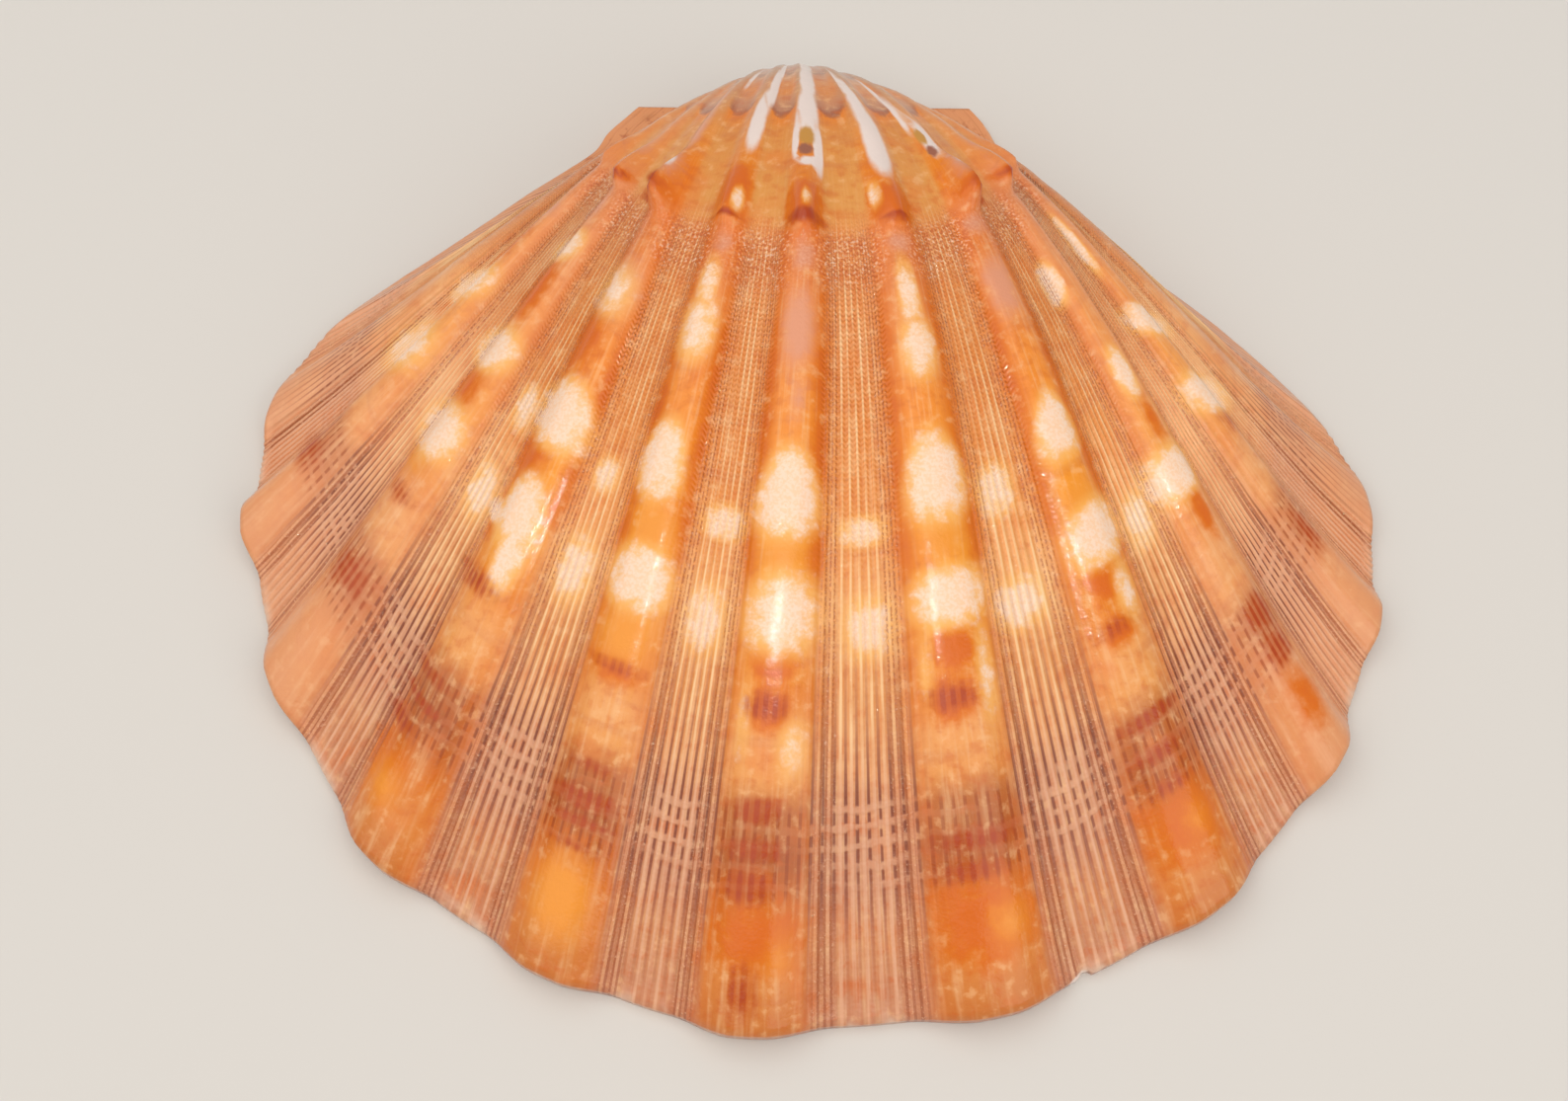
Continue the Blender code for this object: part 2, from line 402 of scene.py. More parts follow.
# Marks on the outside: place, size, half width in ribs, half length in sizes, strength, taper
CREAM_AND_GLINT_MARKS = (
    (0.00, 0.585, 0.19, 0.030, 1.0, 0.5),
    (0.02, 0.680, 0.20, 0.028, 0.9, 0.0),
    (0.14, 0.780, 0.09, 0.025, 0.6, 0.0),
    (-0.15, 0.760, 0.06, 0.040, 0.5, 0.0),
    (1.02, 0.425, 0.09, 0.030, 0.8, 0.3),
    (1.03, 0.475, 0.14, 0.026, 0.8, 0.0),
    (1.02, 0.582, 0.17, 0.030, 1.0, 0.4),
    (1.02, 0.677, 0.19, 0.020, 0.95, 0.0),
    (1.17, 0.740, 0.06, 0.045, 0.6, 0.0),
    (0.84, 0.730, 0.05, 0.035, 0.5, 0.0),
    (-1.06, 0.420, 0.12, 0.022, 0.75, 0.0),
    (-1.05, 0.462, 0.18, 0.028, 0.8, 0.0),
    (-1.06, 0.578, 0.16, 0.028, 1.0, 0.3),
    (-1.00, 0.676, 0.20, 0.022, 1.0, 0.0),
    (2.00, 0.578, 0.15, 0.026, 0.95, 0.6),
    (2.05, 0.676, 0.19, 0.022, 1.0, 0.0),
    (2.12, 0.730, 0.09, 0.024, 0.7, 0.0),
    (-2.12, 0.455, 0.26, 0.026, 0.7, 0.0),
    (-2.06, 0.580, 0.26, 0.027, 1.0, 0.3),
    (-2.02, 0.672, 0.16, 0.028, 1.0, 0.4),
    (-2.25, 0.688, 0.12, 0.010, 0.9, 0.0),
    (-1.96, 0.712, 0.09, 0.028, 0.9, 0.0),
    (-3.15, 0.455, 0.22, 0.018, 1.0, 0.0),
    (-3.14, 0.592, 0.27, 0.022, 1.0, 0.0),
    (-3.14, 0.695, 0.26, 0.026, 1.0, 0.0),
    (-4.28, 0.605, 0.36, 0.026, 1.0, 0.0),
    (-4.30, 0.722, 0.34, 0.034, 1.0, 0.0),
    (2.74, 0.470, 0.10, 0.020, 1.0, 0.0),
    (2.97, 0.585, 0.10, 0.022, 1.0, 0.0),
    (2.95, 0.690, 0.28, 0.020, 1.0, 0.0),
    (3.78, 0.470, 0.08, 0.034, 1.0, 0.0),
    (4.10, 0.600, 0.38, 0.018, 1.0, 0.0),
    (4.15, 0.702, 0.36, 0.022, 1.0, 0.0),
    # Pale spots on three knobs: the first two are cream, and the third, on the middle knob, is a painted
    # highlight
    (-0.93, 0.336, 0.07, 0.012, 0.9, 0.0),
    (0.86, 0.327, 0.06, 0.014, 0.8, 0.0),
    (0.02, 0.334, 0.06, 0.010, 0.7, 0.0),
    (-0.47, 0.613, 0.16, 0.013, 0.85, 0.0),
    (-0.50, 0.690, 0.13, 0.024, 0.85, 0.0),
    (-1.52, 0.606, 0.10, 0.014, 0.85, 0.0),
    (-1.52, 0.690, 0.12, 0.026, 0.85, 0.0),
    (0.52, 0.617, 0.14, 0.011, 0.85, 0.0),
    (0.55, 0.692, 0.13, 0.022, 0.85, 0.0),
    (1.45, 0.605, 0.12, 0.020, 0.85, 0.0),
    (1.46, 0.698, 0.15, 0.018, 0.9, 0.0),
    (2.50, 0.695, 0.12, 0.022, 0.85, 0.0),
    (-2.50, 0.600, 0.10, 0.020, 0.85, 0.0),
    (-2.50, 0.690, 0.12, 0.024, 0.85, 0.0),
)
WHITE_MARKS = (
    (0.14, 0.105, 0.20, 0.040, 1.0, 0.0),
    (0.08, 0.160, 0.19, 0.040, 1.0, 0.0),
    (0.04, 0.215, 0.20, 0.036, 1.0, 0.0),
    (-0.17, 0.258, 0.06, 0.024, 1.0, 0.0),
    (0.20, 0.270, 0.07, 0.034, 1.0, 0.0),
    (0.03, 0.287, 0.14, 0.007, 0.9, 0.0),
    (-0.70, 0.120, 0.09, 0.040, 0.9, 0.0),
    (-0.80, 0.170, 0.11, 0.040, 1.0, 0.0),
    (-0.96, 0.232, 0.15, 0.044, 1.0, 0.0),
    (0.88, 0.150, 0.07, 0.040, 0.9, 0.0),
    (0.96, 0.200, 0.11, 0.040, 1.0, 0.0),
    (1.06, 0.262, 0.17, 0.048, 1.0, 0.0),
    (1.68, 0.170, 0.06, 0.040, 0.8, 0.0),
    (1.78, 0.220, 0.07, 0.040, 0.85, 0.0),
    (1.98, 0.268, 0.14, 0.034, 0.85, 0.0),
    (2.16, 0.316, 0.10, 0.012, 0.8, 0.0),
    (1.355, 1.000, 0.045, 0.003, 0.9, 0.0),
    (-1.72, 0.140, 0.10, 0.050, 0.7, 0.0),
    (-2.12, 0.314, 0.10, 0.014, 0.8, 0.0),
)
ORANGE_MARKS = (
    (0.00, 0.337, 0.24, 0.022, 1.0, 0.0),
    (-1.05, 0.322, 0.24, 0.026, 1.0, 0.0),
    (1.05, 0.338, 0.24, 0.020, 1.0, 0.0),
    (-2.20, 0.345, 0.30, 0.009, 1.0, 0.0),
    (2.18, 0.347, 0.28, 0.009, 1.0, 0.0),
    (-3.10, 0.355, 0.30, 0.007, 0.9, 0.0),
    (3.10, 0.352, 0.30, 0.007, 0.9, 0.0),
    (0.00, 0.715, 0.13, 0.016, 1.0, 0.0),
    (1.02, 0.716, 0.13, 0.015, 1.0, 0.0),
    (0.00, 0.752, 0.15, 0.018, 0.9, 0.0),
    (0.97, 0.755, 0.15, 0.018, 0.9, 0.0),
    (-1.00, 0.750, 0.20, 0.012, 0.8, 0.0),
    (-0.98, 0.700, 0.20, 0.010, 0.6, 0.0),
    (-0.98, 0.640, 0.18, 0.020, 0.5, 0.0),
    (-3.15, 0.515, 0.24, 0.040, 0.9, 0.0),
    (-3.12, 0.640, 0.24, 0.026, 0.8, 0.0),
    (-4.30, 0.530, 0.34, 0.040, 0.8, 0.0),
    (-4.55, 0.668, 0.14, 0.024, 0.8, 0.0),
    (-2.15, 0.510, 0.24, 0.030, 0.8, 0.0),
    (-2.15, 0.630, 0.22, 0.030, 0.8, 0.0),
    (-2.22, 0.702, 0.10, 0.010, 0.7, 0.0),
    (2.00, 0.715, 0.13, 0.016, 1.0, 0.0),
    (1.98, 0.756, 0.14, 0.016, 0.8, 0.0),
    (3.02, 0.640, 0.12, 0.030, 0.7, 0.0),
    (3.02, 0.735, 0.09, 0.030, 0.8, 0.0),
    (0.00, 0.925, 0.24, 0.030, 0.8, 0.0),
    (1.00, 0.925, 0.22, 0.035, 0.9, 0.0),
    (2.00, 0.925, 0.20, 0.035, 0.8, 0.0),
    (-2.15, 0.930, 0.20, 0.035, 0.7, 0.0),
    (3.02, 0.935, 0.16, 0.040, 0.7, 0.0),
)
BROWN_AND_KNOB_SHADE_MARKS = (
    # The first nine marks lie on the steep knob fronts: partly their own deep orange-brown, partly painted
    # shade under each knob
    (0.00, 0.352, 0.24, 0.007, 0.9, 0.0),
    (-1.05, 0.353, 0.20, 0.004, 0.9, 0.0),
    (1.05, 0.356, 0.18, 0.004, 0.9, 0.0),
    (-2.30, 0.348, 0.24, 0.008, 1.0, 0.0),
    (-2.58, 0.325, 0.12, 0.009, 1.0, 0.0),
    (2.28, 0.350, 0.22, 0.008, 1.0, 0.0),
    (2.48, 0.335, 0.12, 0.009, 1.0, 0.0),
    (-3.20, 0.360, 0.24, 0.005, 0.9, 0.0),
    (3.20, 0.358, 0.22, 0.005, 0.9, 0.0),
    (-0.02, 0.750, 0.13, 0.011, 0.9, 0.0),
    (0.97, 0.753, 0.13, 0.011, 0.9, 0.0),
    (-1.00, 0.748, 0.22, 0.007, 0.7, 0.0),
    (-2.12, 0.746, 0.22, 0.011, 0.8, 0.0),
    (1.95, 0.752, 0.16, 0.010, 0.7, 0.0),
    (-0.02, 0.828, 0.12, 0.010, 1.0, 0.0),
    (-0.02, 0.858, 0.14, 0.008, 1.0, 0.0),
    (-0.04, 0.886, 0.12, 0.014, 0.9, 0.0),
    (-0.04, 0.968, 0.08, 0.026, 0.8, 0.0),
    (1.00, 0.862, 0.22, 0.010, 0.85, 0.0),
    (0.96, 0.886, 0.18, 0.009, 0.8, 0.0),
    (-1.00, 0.828, 0.19, 0.007, 0.7, 0.0),
    (-1.00, 0.855, 0.19, 0.009, 0.95, 0.0),
    (-1.00, 0.873, 0.19, 0.004, 1.0, 0.0),
    (-1.00, 0.892, 0.18, 0.005, 0.65, 0.0),
    (2.00, 0.832, 0.19, 0.007, 0.95, 0.0),
    (1.98, 0.860, 0.16, 0.008, 0.85, 0.0),
    (1.98, 0.888, 0.14, 0.009, 0.7, 0.0),
    (-2.12, 0.838, 0.22, 0.007, 0.7, 0.0),
    (-2.12, 0.862, 0.22, 0.005, 0.9, 0.0),
    (-2.20, 0.888, 0.16, 0.010, 0.8, 0.0),
    (-3.05, 0.765, 0.22, 0.012, 0.7, 0.0),
    (-3.00, 0.858, 0.22, 0.022, 0.8, 0.0),
    (-4.15, 0.890, 0.26, 0.026, 0.8, 0.0),
    (3.02, 0.845, 0.12, 0.016, 1.0, 0.0),
    (3.02, 0.880, 0.14, 0.018, 0.9, 0.0),
    (4.12, 0.740, 0.22, 0.018, 0.6, 0.0),
    (4.00, 0.875, 0.12, 0.034, 0.7, 0.0),
)
ROSE_MARKS = (
    (2.22, 0.320, 0.26, 0.020, 0.9, 0.0),
    (-2.25, 0.316, 0.28, 0.022, 0.9, 0.0),
    (-2.15, 0.255, 0.18, 0.026, 0.8, 0.0),
    (-2.15, 0.200, 0.16, 0.030, 0.7, 0.0),
    (3.10, 0.300, 0.20, 0.024, 0.6, 0.0),
    (-3.10, 0.300, 0.20, 0.024, 0.6, 0.0),
    (0.00, 0.450, 0.15, 0.036, 0.9, 0.0),
    (0.03, 0.510, 0.11, 0.030, 0.6, 0.0),
    (-2.08, 0.448, 0.28, 0.030, 0.8, 0.0),
    (1.98, 0.445, 0.16, 0.032, 0.9, 0.0),
    (-3.20, 0.400, 0.22, 0.016, 0.8, 0.0),
    (1.03, 0.378, 0.15, 0.012, 0.8, 0.0),
    (1.98, 0.378, 0.16, 0.012, 0.8, 0.0),
    (-1.00, 0.380, 0.14, 0.014, 0.7, 0.0),
    (0.02, 0.385, 0.13, 0.018, 0.8, 0.0),
    (-4.20, 0.470, 0.34, 0.020, 0.8, 0.0),
)
GOLD_MARKS = (
    (0.00, 0.632, 0.14, 0.018, 0.9, 0.0),
    (1.02, 0.630, 0.14, 0.016, 0.9, 0.0),
    (-0.98, 0.635, 0.16, 0.020, 0.9, 0.0),
    (-1.00, 0.722, 0.18, 0.022, 0.9, 0.0),
    (2.02, 0.645, 0.14, 0.018, 0.9, 0.0),
    (-3.14, 0.735, 0.22, 0.018, 0.7, 0.0),
    (-1.00, 0.935, 0.15, 0.034, 0.95, 0.0),
    (1.10, 0.930, 0.10, 0.020, 0.7, 0.0),
    (0.12, 0.940, 0.08, 0.020, 0.6, 0.0),
    (-2.10, 0.940, 0.14, 0.024, 0.7, 0.0),
    (2.05, 0.925, 0.10, 0.020, 0.6, 0.0),
)
SCAR_MARKS = ((0.20, 0.560, 1.70, 0.130, 1.0, 0.0),)
PIT_MARKS = (
    (0.00, 0.271, 0.12, 0.007, 1.0, 0.0),
    (1.93, 0.287, 0.08, 0.008, 1.0, 0.0),
)
OCHRE_MARKS = (
    (0.02, 0.254, 0.13, 0.012, 1.0, 0.0),
    (1.90, 0.264, 0.08, 0.012, 1.0, 0.0),
)
MARKS = {
    "cream": CREAM_AND_GLINT_MARKS,
    "white": WHITE_MARKS,
    "orange": ORANGE_MARKS,
    "gold": GOLD_MARKS,
    "brown": BROWN_AND_KNOB_SHADE_MARKS,
    "rose": ROSE_MARKS,
    "ochre": OCHRE_MARKS,
    "pit": PIT_MARKS,
}

# Fields that only shape the valve, and fields that the material reads
CHART_ONLY_FIELDS = {
    "outline": "FLOAT_VECTOR",
    "outline_run": "FLOAT_VECTOR",
    "rise_share": "FLOAT_VECTOR",
    "draw_in": "FLOAT_VECTOR",
    "edge_share": "FLOAT",
    "rib": "FLOAT",
    "riblet": "FLOAT",
    "knob": "FLOAT",
}
MATERIAL_FIELDS = (
    ("place", "size", "side", "growth", "in_band", "streaked", "on_ear", "scar")
    + ("on_rib", "outer", "rib_side", "rib_foot", "pale_top", "groove", "scaled", "scaly")
    + ("line_share", "lip")
    + tuple(MARKS)
)


def growth_slope(place):
    """How much larger the size is, a rib further out, along one growth line of the outer ribs."""
    return 0.075 * np.sign(place) * ease((abs(place) - 2.3) / 1.5)


def stamp(marks, size, place):
    """The strongest of the marks at each point: 0.5 times the strength on a mark's own outline."""
    field = np.zeros(len(place))
    for mid_place, mid_size, half_width, half_length, strength, taper in marks:
        along = (size - mid_size - growth_slope(mid_place) * (place - mid_place)) / half_length
        across = (place - mid_place) / (half_width * (1.0 + 0.5 * taper * np.clip(along, -1.5, 1.0)))
        distance = (np.abs(along) ** ROUNDNESS + np.abs(across) ** ROUNDNESS) ** (1.0 / ROUNDNESS)
        field = np.maximum(field, strength * np.clip(1.0 - 0.5 * distance, 0.0, 1.0))
    return field


def rib_fields(size, place):
    """Where a point lies on its rib, as amounts from 0 to 1."""
    rib = np.round(place)
    from_crest = np.abs(place - rib)
    on_disc = rise(np.abs(place), 5.6, 5.2)
    ribbed = on_disc * np.where(np.abs(rib) < RIBS_A_SIDE, 1.0, 0.2)
    outer = rise(np.abs(place), 2.4, 3.0)
    off_umbo = rise(size, 0.33, 0.39)
    on_rib = rise(from_crest, 0.27, 0.19) * ribbed
    side_share = (0.30 + 0.70 * rise(size, 0.74, 0.58)) * (0.4 + 0.6 * rise(size, 0.38, 0.50))
    rib_side = rise(np.abs(from_crest - 0.225), 0.09, 0.02) * ribbed
    quiet = 1.0 - 0.5 * outer * rise(size, 0.84, 0.74)
    groove_share = smooth_line(*np.array(GROOVE_STRENGTH).T, np.clip(size, 0.34, 1.0))
    beside = 0.25 + 0.75 * rise(from_crest, 0.08, 0.24)
    return {
        "on_rib": on_rib,
        "outer": (0.35 + 0.30 * rise(size, 0.80, 0.95)) * outer,
        "rib_side": rib_side * side_share * (1.0 - 0.45 * outer) * off_umbo,
        "rib_foot": rise(np.abs(from_crest - 0.315), 0.065, 0.04) * off_umbo * on_disc,
        "pale_top": rise(from_crest, 0.30, 0.40) * off_umbo,
        "groove": groove_share * (1.0 - on_rib) * quiet * off_umbo,
        "scaled": off_umbo * (0.1 + 0.9 * rise(size, 0.72, 0.46)) * (1.0 - 0.9 * on_rib),
        "scaly": rise(size, 0.352, 0.368) * rise(size, 0.43, 0.395) * beside,
        "line_share": 0.10 + 0.35 * rise(from_crest, 0.28, 0.40),
        "lip": rise(size, 0.990, 0.998) * rise(from_crest, 0.30, 0.40),
    }


def growth_fields(size, place):
    """Growth as the colours follow it, and where its bands lie."""
    on_disc = rise(np.abs(place), 5.6, 5.2)
    sag = (0.005 + 0.005 * rise(size, 0.35, 0.25)) * np.cos(2.0 * np.pi * place) * on_disc
    return {
        "growth": size + sag,
        "in_band": rise(size, *BAND_START) * rise(size, *BAND_END),
        "streaked": 0.08 + 0.27 * rise(size, 0.34, 0.40),
        "on_ear": rise(np.abs(place), 6.2, 6.7),
        "scar": stamp(SCAR_MARKS, size, place),
    }


def chip_share(size, place):
    """How much of its reach the rim has lost at the chip."""
    mid_place, half_width, depth = CHIP
    across = rise(np.abs(place - mid_place), half_width, 0.4 * half_width)
    return depth * across * rise(size, 0.985, 1.0)


def side_values(side, outside, foot, inside):
    """Picks one row of numbers for each point by the sheet that it belongs to."""
    return np.array([outside, foot, inside], float)[side.astype(int)]


def shape_fields(place, size, side):
    """What the growth tree reads at each point."""
    unchipped = 1.0 - chip_share(size, place) * (side != INSIDE)
    return {
        "outline": outline_point(size, place) * unchipped[:, None],
        "outline_run": outline_run(size, place),
        "rib": rib_profile(place),
        "riblet": riblet_profile(size, place) * (side == OUTSIDE),
        "knob": knob_profile(size, place) * (side == OUTSIDE),
        "rise_share": side_values(side, (1, 1, 1), (1, 1, RIM_ARCH_SHARE), (INSIDE_RIB_SHARE,) * 3),
        "draw_in": side_values(side, (1, 1, 1), (1, 1, 1), INSIDE_SHARE),
        "edge_share": (side == OUTSIDE) * 1.0,
    }


def chart_fields(chart):
    """Everything that the growth tree and the material read, point by point."""
    place, size, side = chart.T
    fields = {"place": place, "size": size, "side": side}
    fields.update(shape_fields(place, size, side))
    fields.update(rib_fields(size, place))
    fields.update(growth_fields(size, place))
    for label, marks in MARKS.items():
        fields[label] = stamp(marks, size, place)
    return fields


def chart_mesh(name):
    """The unrolled net as a mesh: place across, size along, with its fields on the points."""
    net = valve_net()
    chart = np.array(net.chart, float)
    mesh = bpy.data.meshes.new(name)
    mesh.from_pydata([tuple(point) for point in chart], [], net.triangles)
    for label, values in chart_fields(chart).items():
        vector = values.ndim == 2
        attribute = mesh.attributes.new(label, "FLOAT_VECTOR" if vector else "FLOAT", "POINT")
        attribute.data.foreach_set("vector" if vector else "value", values.astype(np.float32).ravel())
    return mesh


def put(tree, kind, inputs=(), stops=(), **settings):
    """Adds one node with its settings. Inputs are numbers, sockets or nodes, in order or by name."""
    node = tree.nodes.new(kind)
    for name, value in settings.items():
        setattr(node, name, value)
    for number, (position, code) in enumerate(stops):
        elements = node.color_ramp.elements
        element = elements[number] if number < 2 else elements.new(position)
        element.position = position
        element.color = linear(code)
    live = [socket for socket in node.inputs if socket.enabled]
    if isinstance(inputs, dict):
        pairs = [(next(s for s in live if s.name == name), value) for name, value in inputs.items()]
    else:
        pairs = list(zip(live, inputs))
    for socket, value in pairs:
        if isinstance(value, bpy.types.Node):
            value = next(output for output in value.outputs if output.enabled)
        if isinstance(value, bpy.types.NodeSocket):
            tree.links.new(value, socket)
        else:
            socket.default_value = value
    return node


def growth_inputs(tree):
    """Names the tree's inputs and gives them back as the sockets of its input node."""
    face = tree.interface
    face.new_socket("Chart", in_out="INPUT", socket_type="NodeSocketGeometry")
    for name in ("Coil", "Rib Rise", "Riblet Rise", "Knob Rise", "Unevenness", "Rim Edge", "Seed"):
        face.new_socket(name, in_out="INPUT", socket_type="NodeSocketFloat")
    face.new_socket("Beak", in_out="INPUT", socket_type="NodeSocketVector")
    face.new_socket("Shell", in_out="INPUT", socket_type="NodeSocketMaterial")
    face.new_socket("Valve", in_out="OUTPUT", socket_type="NodeSocketGeometry")
    return put(tree, "NodeGroupInput").outputs


def wound_chart(tree, given, at):
    """Each row of the chart turned about the hinge line and shrunk towards the beak, and its normals."""
    log_size = put(tree, "ShaderNodeMath", (at["size"], math.e), operation="LOGARITHM")
    angle = put(tree, "ShaderNodeMath", (log_size, given["Coil"]), operation="DIVIDE")
    outline_turn = {"Vector": at["outline"], "Angle": angle}
    swung = put(tree, "ShaderNodeVectorRotate", outline_turn, rotation_type="X_AXIS")
    run_turn = {"Vector": at["outline_run"], "Angle": angle}
    along_rim = put(tree, "ShaderNodeVectorRotate", run_turn, rotation_type="X_AXIS")
    point = put(tree, "ShaderNodeVectorMath", {"Vector": swung, "Scale": at["size"]}, operation="SCALE")
    sideways = put(tree, "ShaderNodeVectorMath", ((1.0, 0.0, 0.0), swung), operation="CROSS_PRODUCT")
    turn_rate = put(tree, "ShaderNodeMath", (1.0, given["Coil"]), operation="DIVIDE")
    turning = put(tree, "ShaderNodeVectorMath", {"Vector": sideways, "Scale": turn_rate}, operation="SCALE")
    along_growth = put(tree, "ShaderNodeVectorMath", (swung, turning), operation="ADD")
    cross = put(tree, "ShaderNodeVectorMath", (along_growth, along_rim), operation="CROSS_PRODUCT")
    normal = put(tree, "ShaderNodeVectorMath", (cross,), operation="NORMALIZE")
    return point, normal


def relief_height(tree, given, at, point):
    """Ribs, riblets, knobs and unevenness as one height along the normal."""
    rib_height = put(tree, "ShaderNodeMath", (given["Rib Rise"], at["rib"]), operation="MULTIPLY")
    grown = (given["Riblet Rise"], at["riblet"], rib_height)
    grown_ribs = put(tree, "ShaderNodeMath", grown, operation="MULTIPLY_ADD")
    knob_height = put(tree, "ShaderNodeMath", (given["Knob Rise"], at["knob"]), operation="MULTIPLY")
    relief = put(tree, "ShaderNodeMath", (grown_ribs, at["size"], knob_height), operation="MULTIPLY_ADD")
    hollows = {"Vector": point, "W": given["Seed"], "Scale": HOLLOW_SCALE, "Detail": HOLLOW_DETAIL}
    noise = put(tree, "ShaderNodeTexNoise", hollows, noise_dimensions="4D")
    centred = put(tree, "ShaderNodeMath", (noise, 0.5), operation="SUBTRACT")
    uneven = put(tree, "ShaderNodeMath", (centred, given["Unevenness"]), operation="MULTIPLY")
    return put(tree, "ShaderNodeMath", (uneven, at["edge_share"], relief), operation="MULTIPLY_ADD")


def placed_points(tree, given, at, point, rise_by):
    """Raises the relief, draws the inside in from the outside and sets the beak in its place."""
    shared = (rise_by, at["rise_share"], point)
    raised = put(tree, "ShaderNodeVectorMath", shared, operation="MULTIPLY_ADD")
    from_centre = put(tree, "ShaderNodeVectorMath", (raised, INSIDE_CENTRE), operation="SUBTRACT")
    drawing = (from_centre, at["draw_in"], INSIDE_CENTRE)
    drawn = put(tree, "ShaderNodeVectorMath", drawing, operation="MULTIPLY_ADD")
    edge = put(tree, "ShaderNodeMath", (given["Rim Edge"], at["edge_share"]), operation="MULTIPLY")
    lift = put(tree, "ShaderNodeCombineXYZ", (0.0, 0.0, edge))
    lifted = put(tree, "ShaderNodeVectorMath", (drawn, lift), operation="ADD")
    return put(tree, "ShaderNodeVectorMath", (lifted, given["Beak"]), operation="ADD")


def growth_tree():
    """Geometry Nodes that wind the chart up into the valve and raise its relief."""
    tree = bpy.data.node_groups.new("valve_growth", "GeometryNodeTree")
    given = growth_inputs(tree)
    at = {"size": put(tree, "GeometryNodeInputNamedAttribute", ("size",), data_type="FLOAT")}
    for label, kind in CHART_ONLY_FIELDS.items():
        at[label] = put(tree, "GeometryNodeInputNamedAttribute", (label,), data_type=kind)
    point, normal = wound_chart(tree, given, at)
    height = {"Vector": normal, "Scale": relief_height(tree, given, at, point)}
    rise_by = put(tree, "ShaderNodeVectorMath", height, operation="SCALE")
    placed = placed_points(tree, given, at, point, rise_by)
    shape = put(tree, "GeometryNodeSetPosition", {"Geometry": given["Chart"], "Position": placed})
    smooth = put(tree, "GeometryNodeSetShadeSmooth", {"Geometry": shape})
    real = put(tree, "GeometryNodeRealizeInstances", {"Geometry": smooth})
    finished = put(tree, "GeometryNodeSetMaterial", {"Geometry": real, "Material": given["Shell"]})
    put(tree, "NodeGroupOutput", (finished,))
    return tree


# Colours between the ribs, from the beak to the rim
BETWEEN_STOPS = (
    (0.00, "#c9a592"),
    (0.115, "#cf9c80"),
    (0.128, "#b98a72"),
    (0.134, "#d8a280"),
    (0.150, "#e29a60"),
    (0.170, "#e69654"),
    (0.190, "#d39a78"),
    (0.204, "#c08a70"),
    (0.209, "#a8664e"),
    (0.215, "#ec9448"),
    (0.232, "#e49c5a"),
    (0.250, "#e3a060"),
    (0.330, "#e4a868"),
    (0.365, "#e89c66"),
    (0.450, "#e99a60"),
    (0.550, "#e99a5c"),
    (0.620, "#eda468"),
    (0.680, "#f3b983"),
    (0.740, "#e5a26c"),
    (0.800, "#eab084"),
    (0.830, "#d9a384"),
    (0.890, "#d89f82"),
    (0.930, "#dfa37c"),
    (1.000, "#d0957a"),
)
# Colours on the rib crests
CREST_STOPS = (
    (0.00, "#bb9a86"),
    (0.14, "#c89c7c"),
    (0.25, "#e8a060"),
    (0.32, "#e98e36"),
    (0.37, "#e88c54"),
    (0.45, "#ec9c64"),
    (0.52, "#f29e56"),
    (0.58, "#f3a050"),
    (0.64, "#f5a64e"),
    (0.70, "#f4ac5a"),
    (0.74, "#ea954a"),
    (0.78, "#efad74"),
    (0.81, "#eca86c"),
    (0.832, "#c67c4c"),
    (0.870, "#b76a3e"),
    (0.895, "#cd7438"),
    (0.920, "#e08844"),
    (0.960, "#e2965a"),
    (1.000, "#d28650"),
)
# Colours of the grooves between the riblets
GROOVE_STOPS = (
    (0.40, "#d08a55"),
    (0.70, "#c27c56"),
    (0.825, "#8e4a33"),
    (0.885, "#985640"),
    (0.925, "#b9745a"),
    (1.00, "#b8683a"),
)
# Colours of the inside
INSIDE_STOPS = (
    (0.00, "#e3c9b8"),
    (0.30, "#f2e7df"),
    (0.78, "#f3e6dc"),
    (0.88, "#ecc9ac"),
    (0.94, "#d0987a"),
    (0.98, "#e0b08e"),
    (1.00, "#e6bc9c"),
)
# Noises, as turns a metre and detail: streaks 0.7 mm wide and bands 2.4 mm long, along the growth
STREAKS = (1500.0, 2.0)
BANDS = (420.0, 4.0)
# The same all ways: mottle 6 mm across, clouds 17 mm, fine patches 1.5 mm and grains 0.4 mm
BODY_NOISES = {
    "mottle": (170.0, 3.0),
    "cloud": (60.0, 2.0),
    "fine": (650.0, 4.0),
    "grain": (2600.0, 2.0),
}
# How long a streak is for its width, and how wide a growth band is for its length
STREAK_STRETCH = 0.07
BAND_STRETCH = 0.12
# Growth lines in the dark band, 2 mm apart, and rows of scales on the younger disc, 0.6 mm, in sizes
LINE_STEP = 0.0155
SCALE_STEP = 0.0046

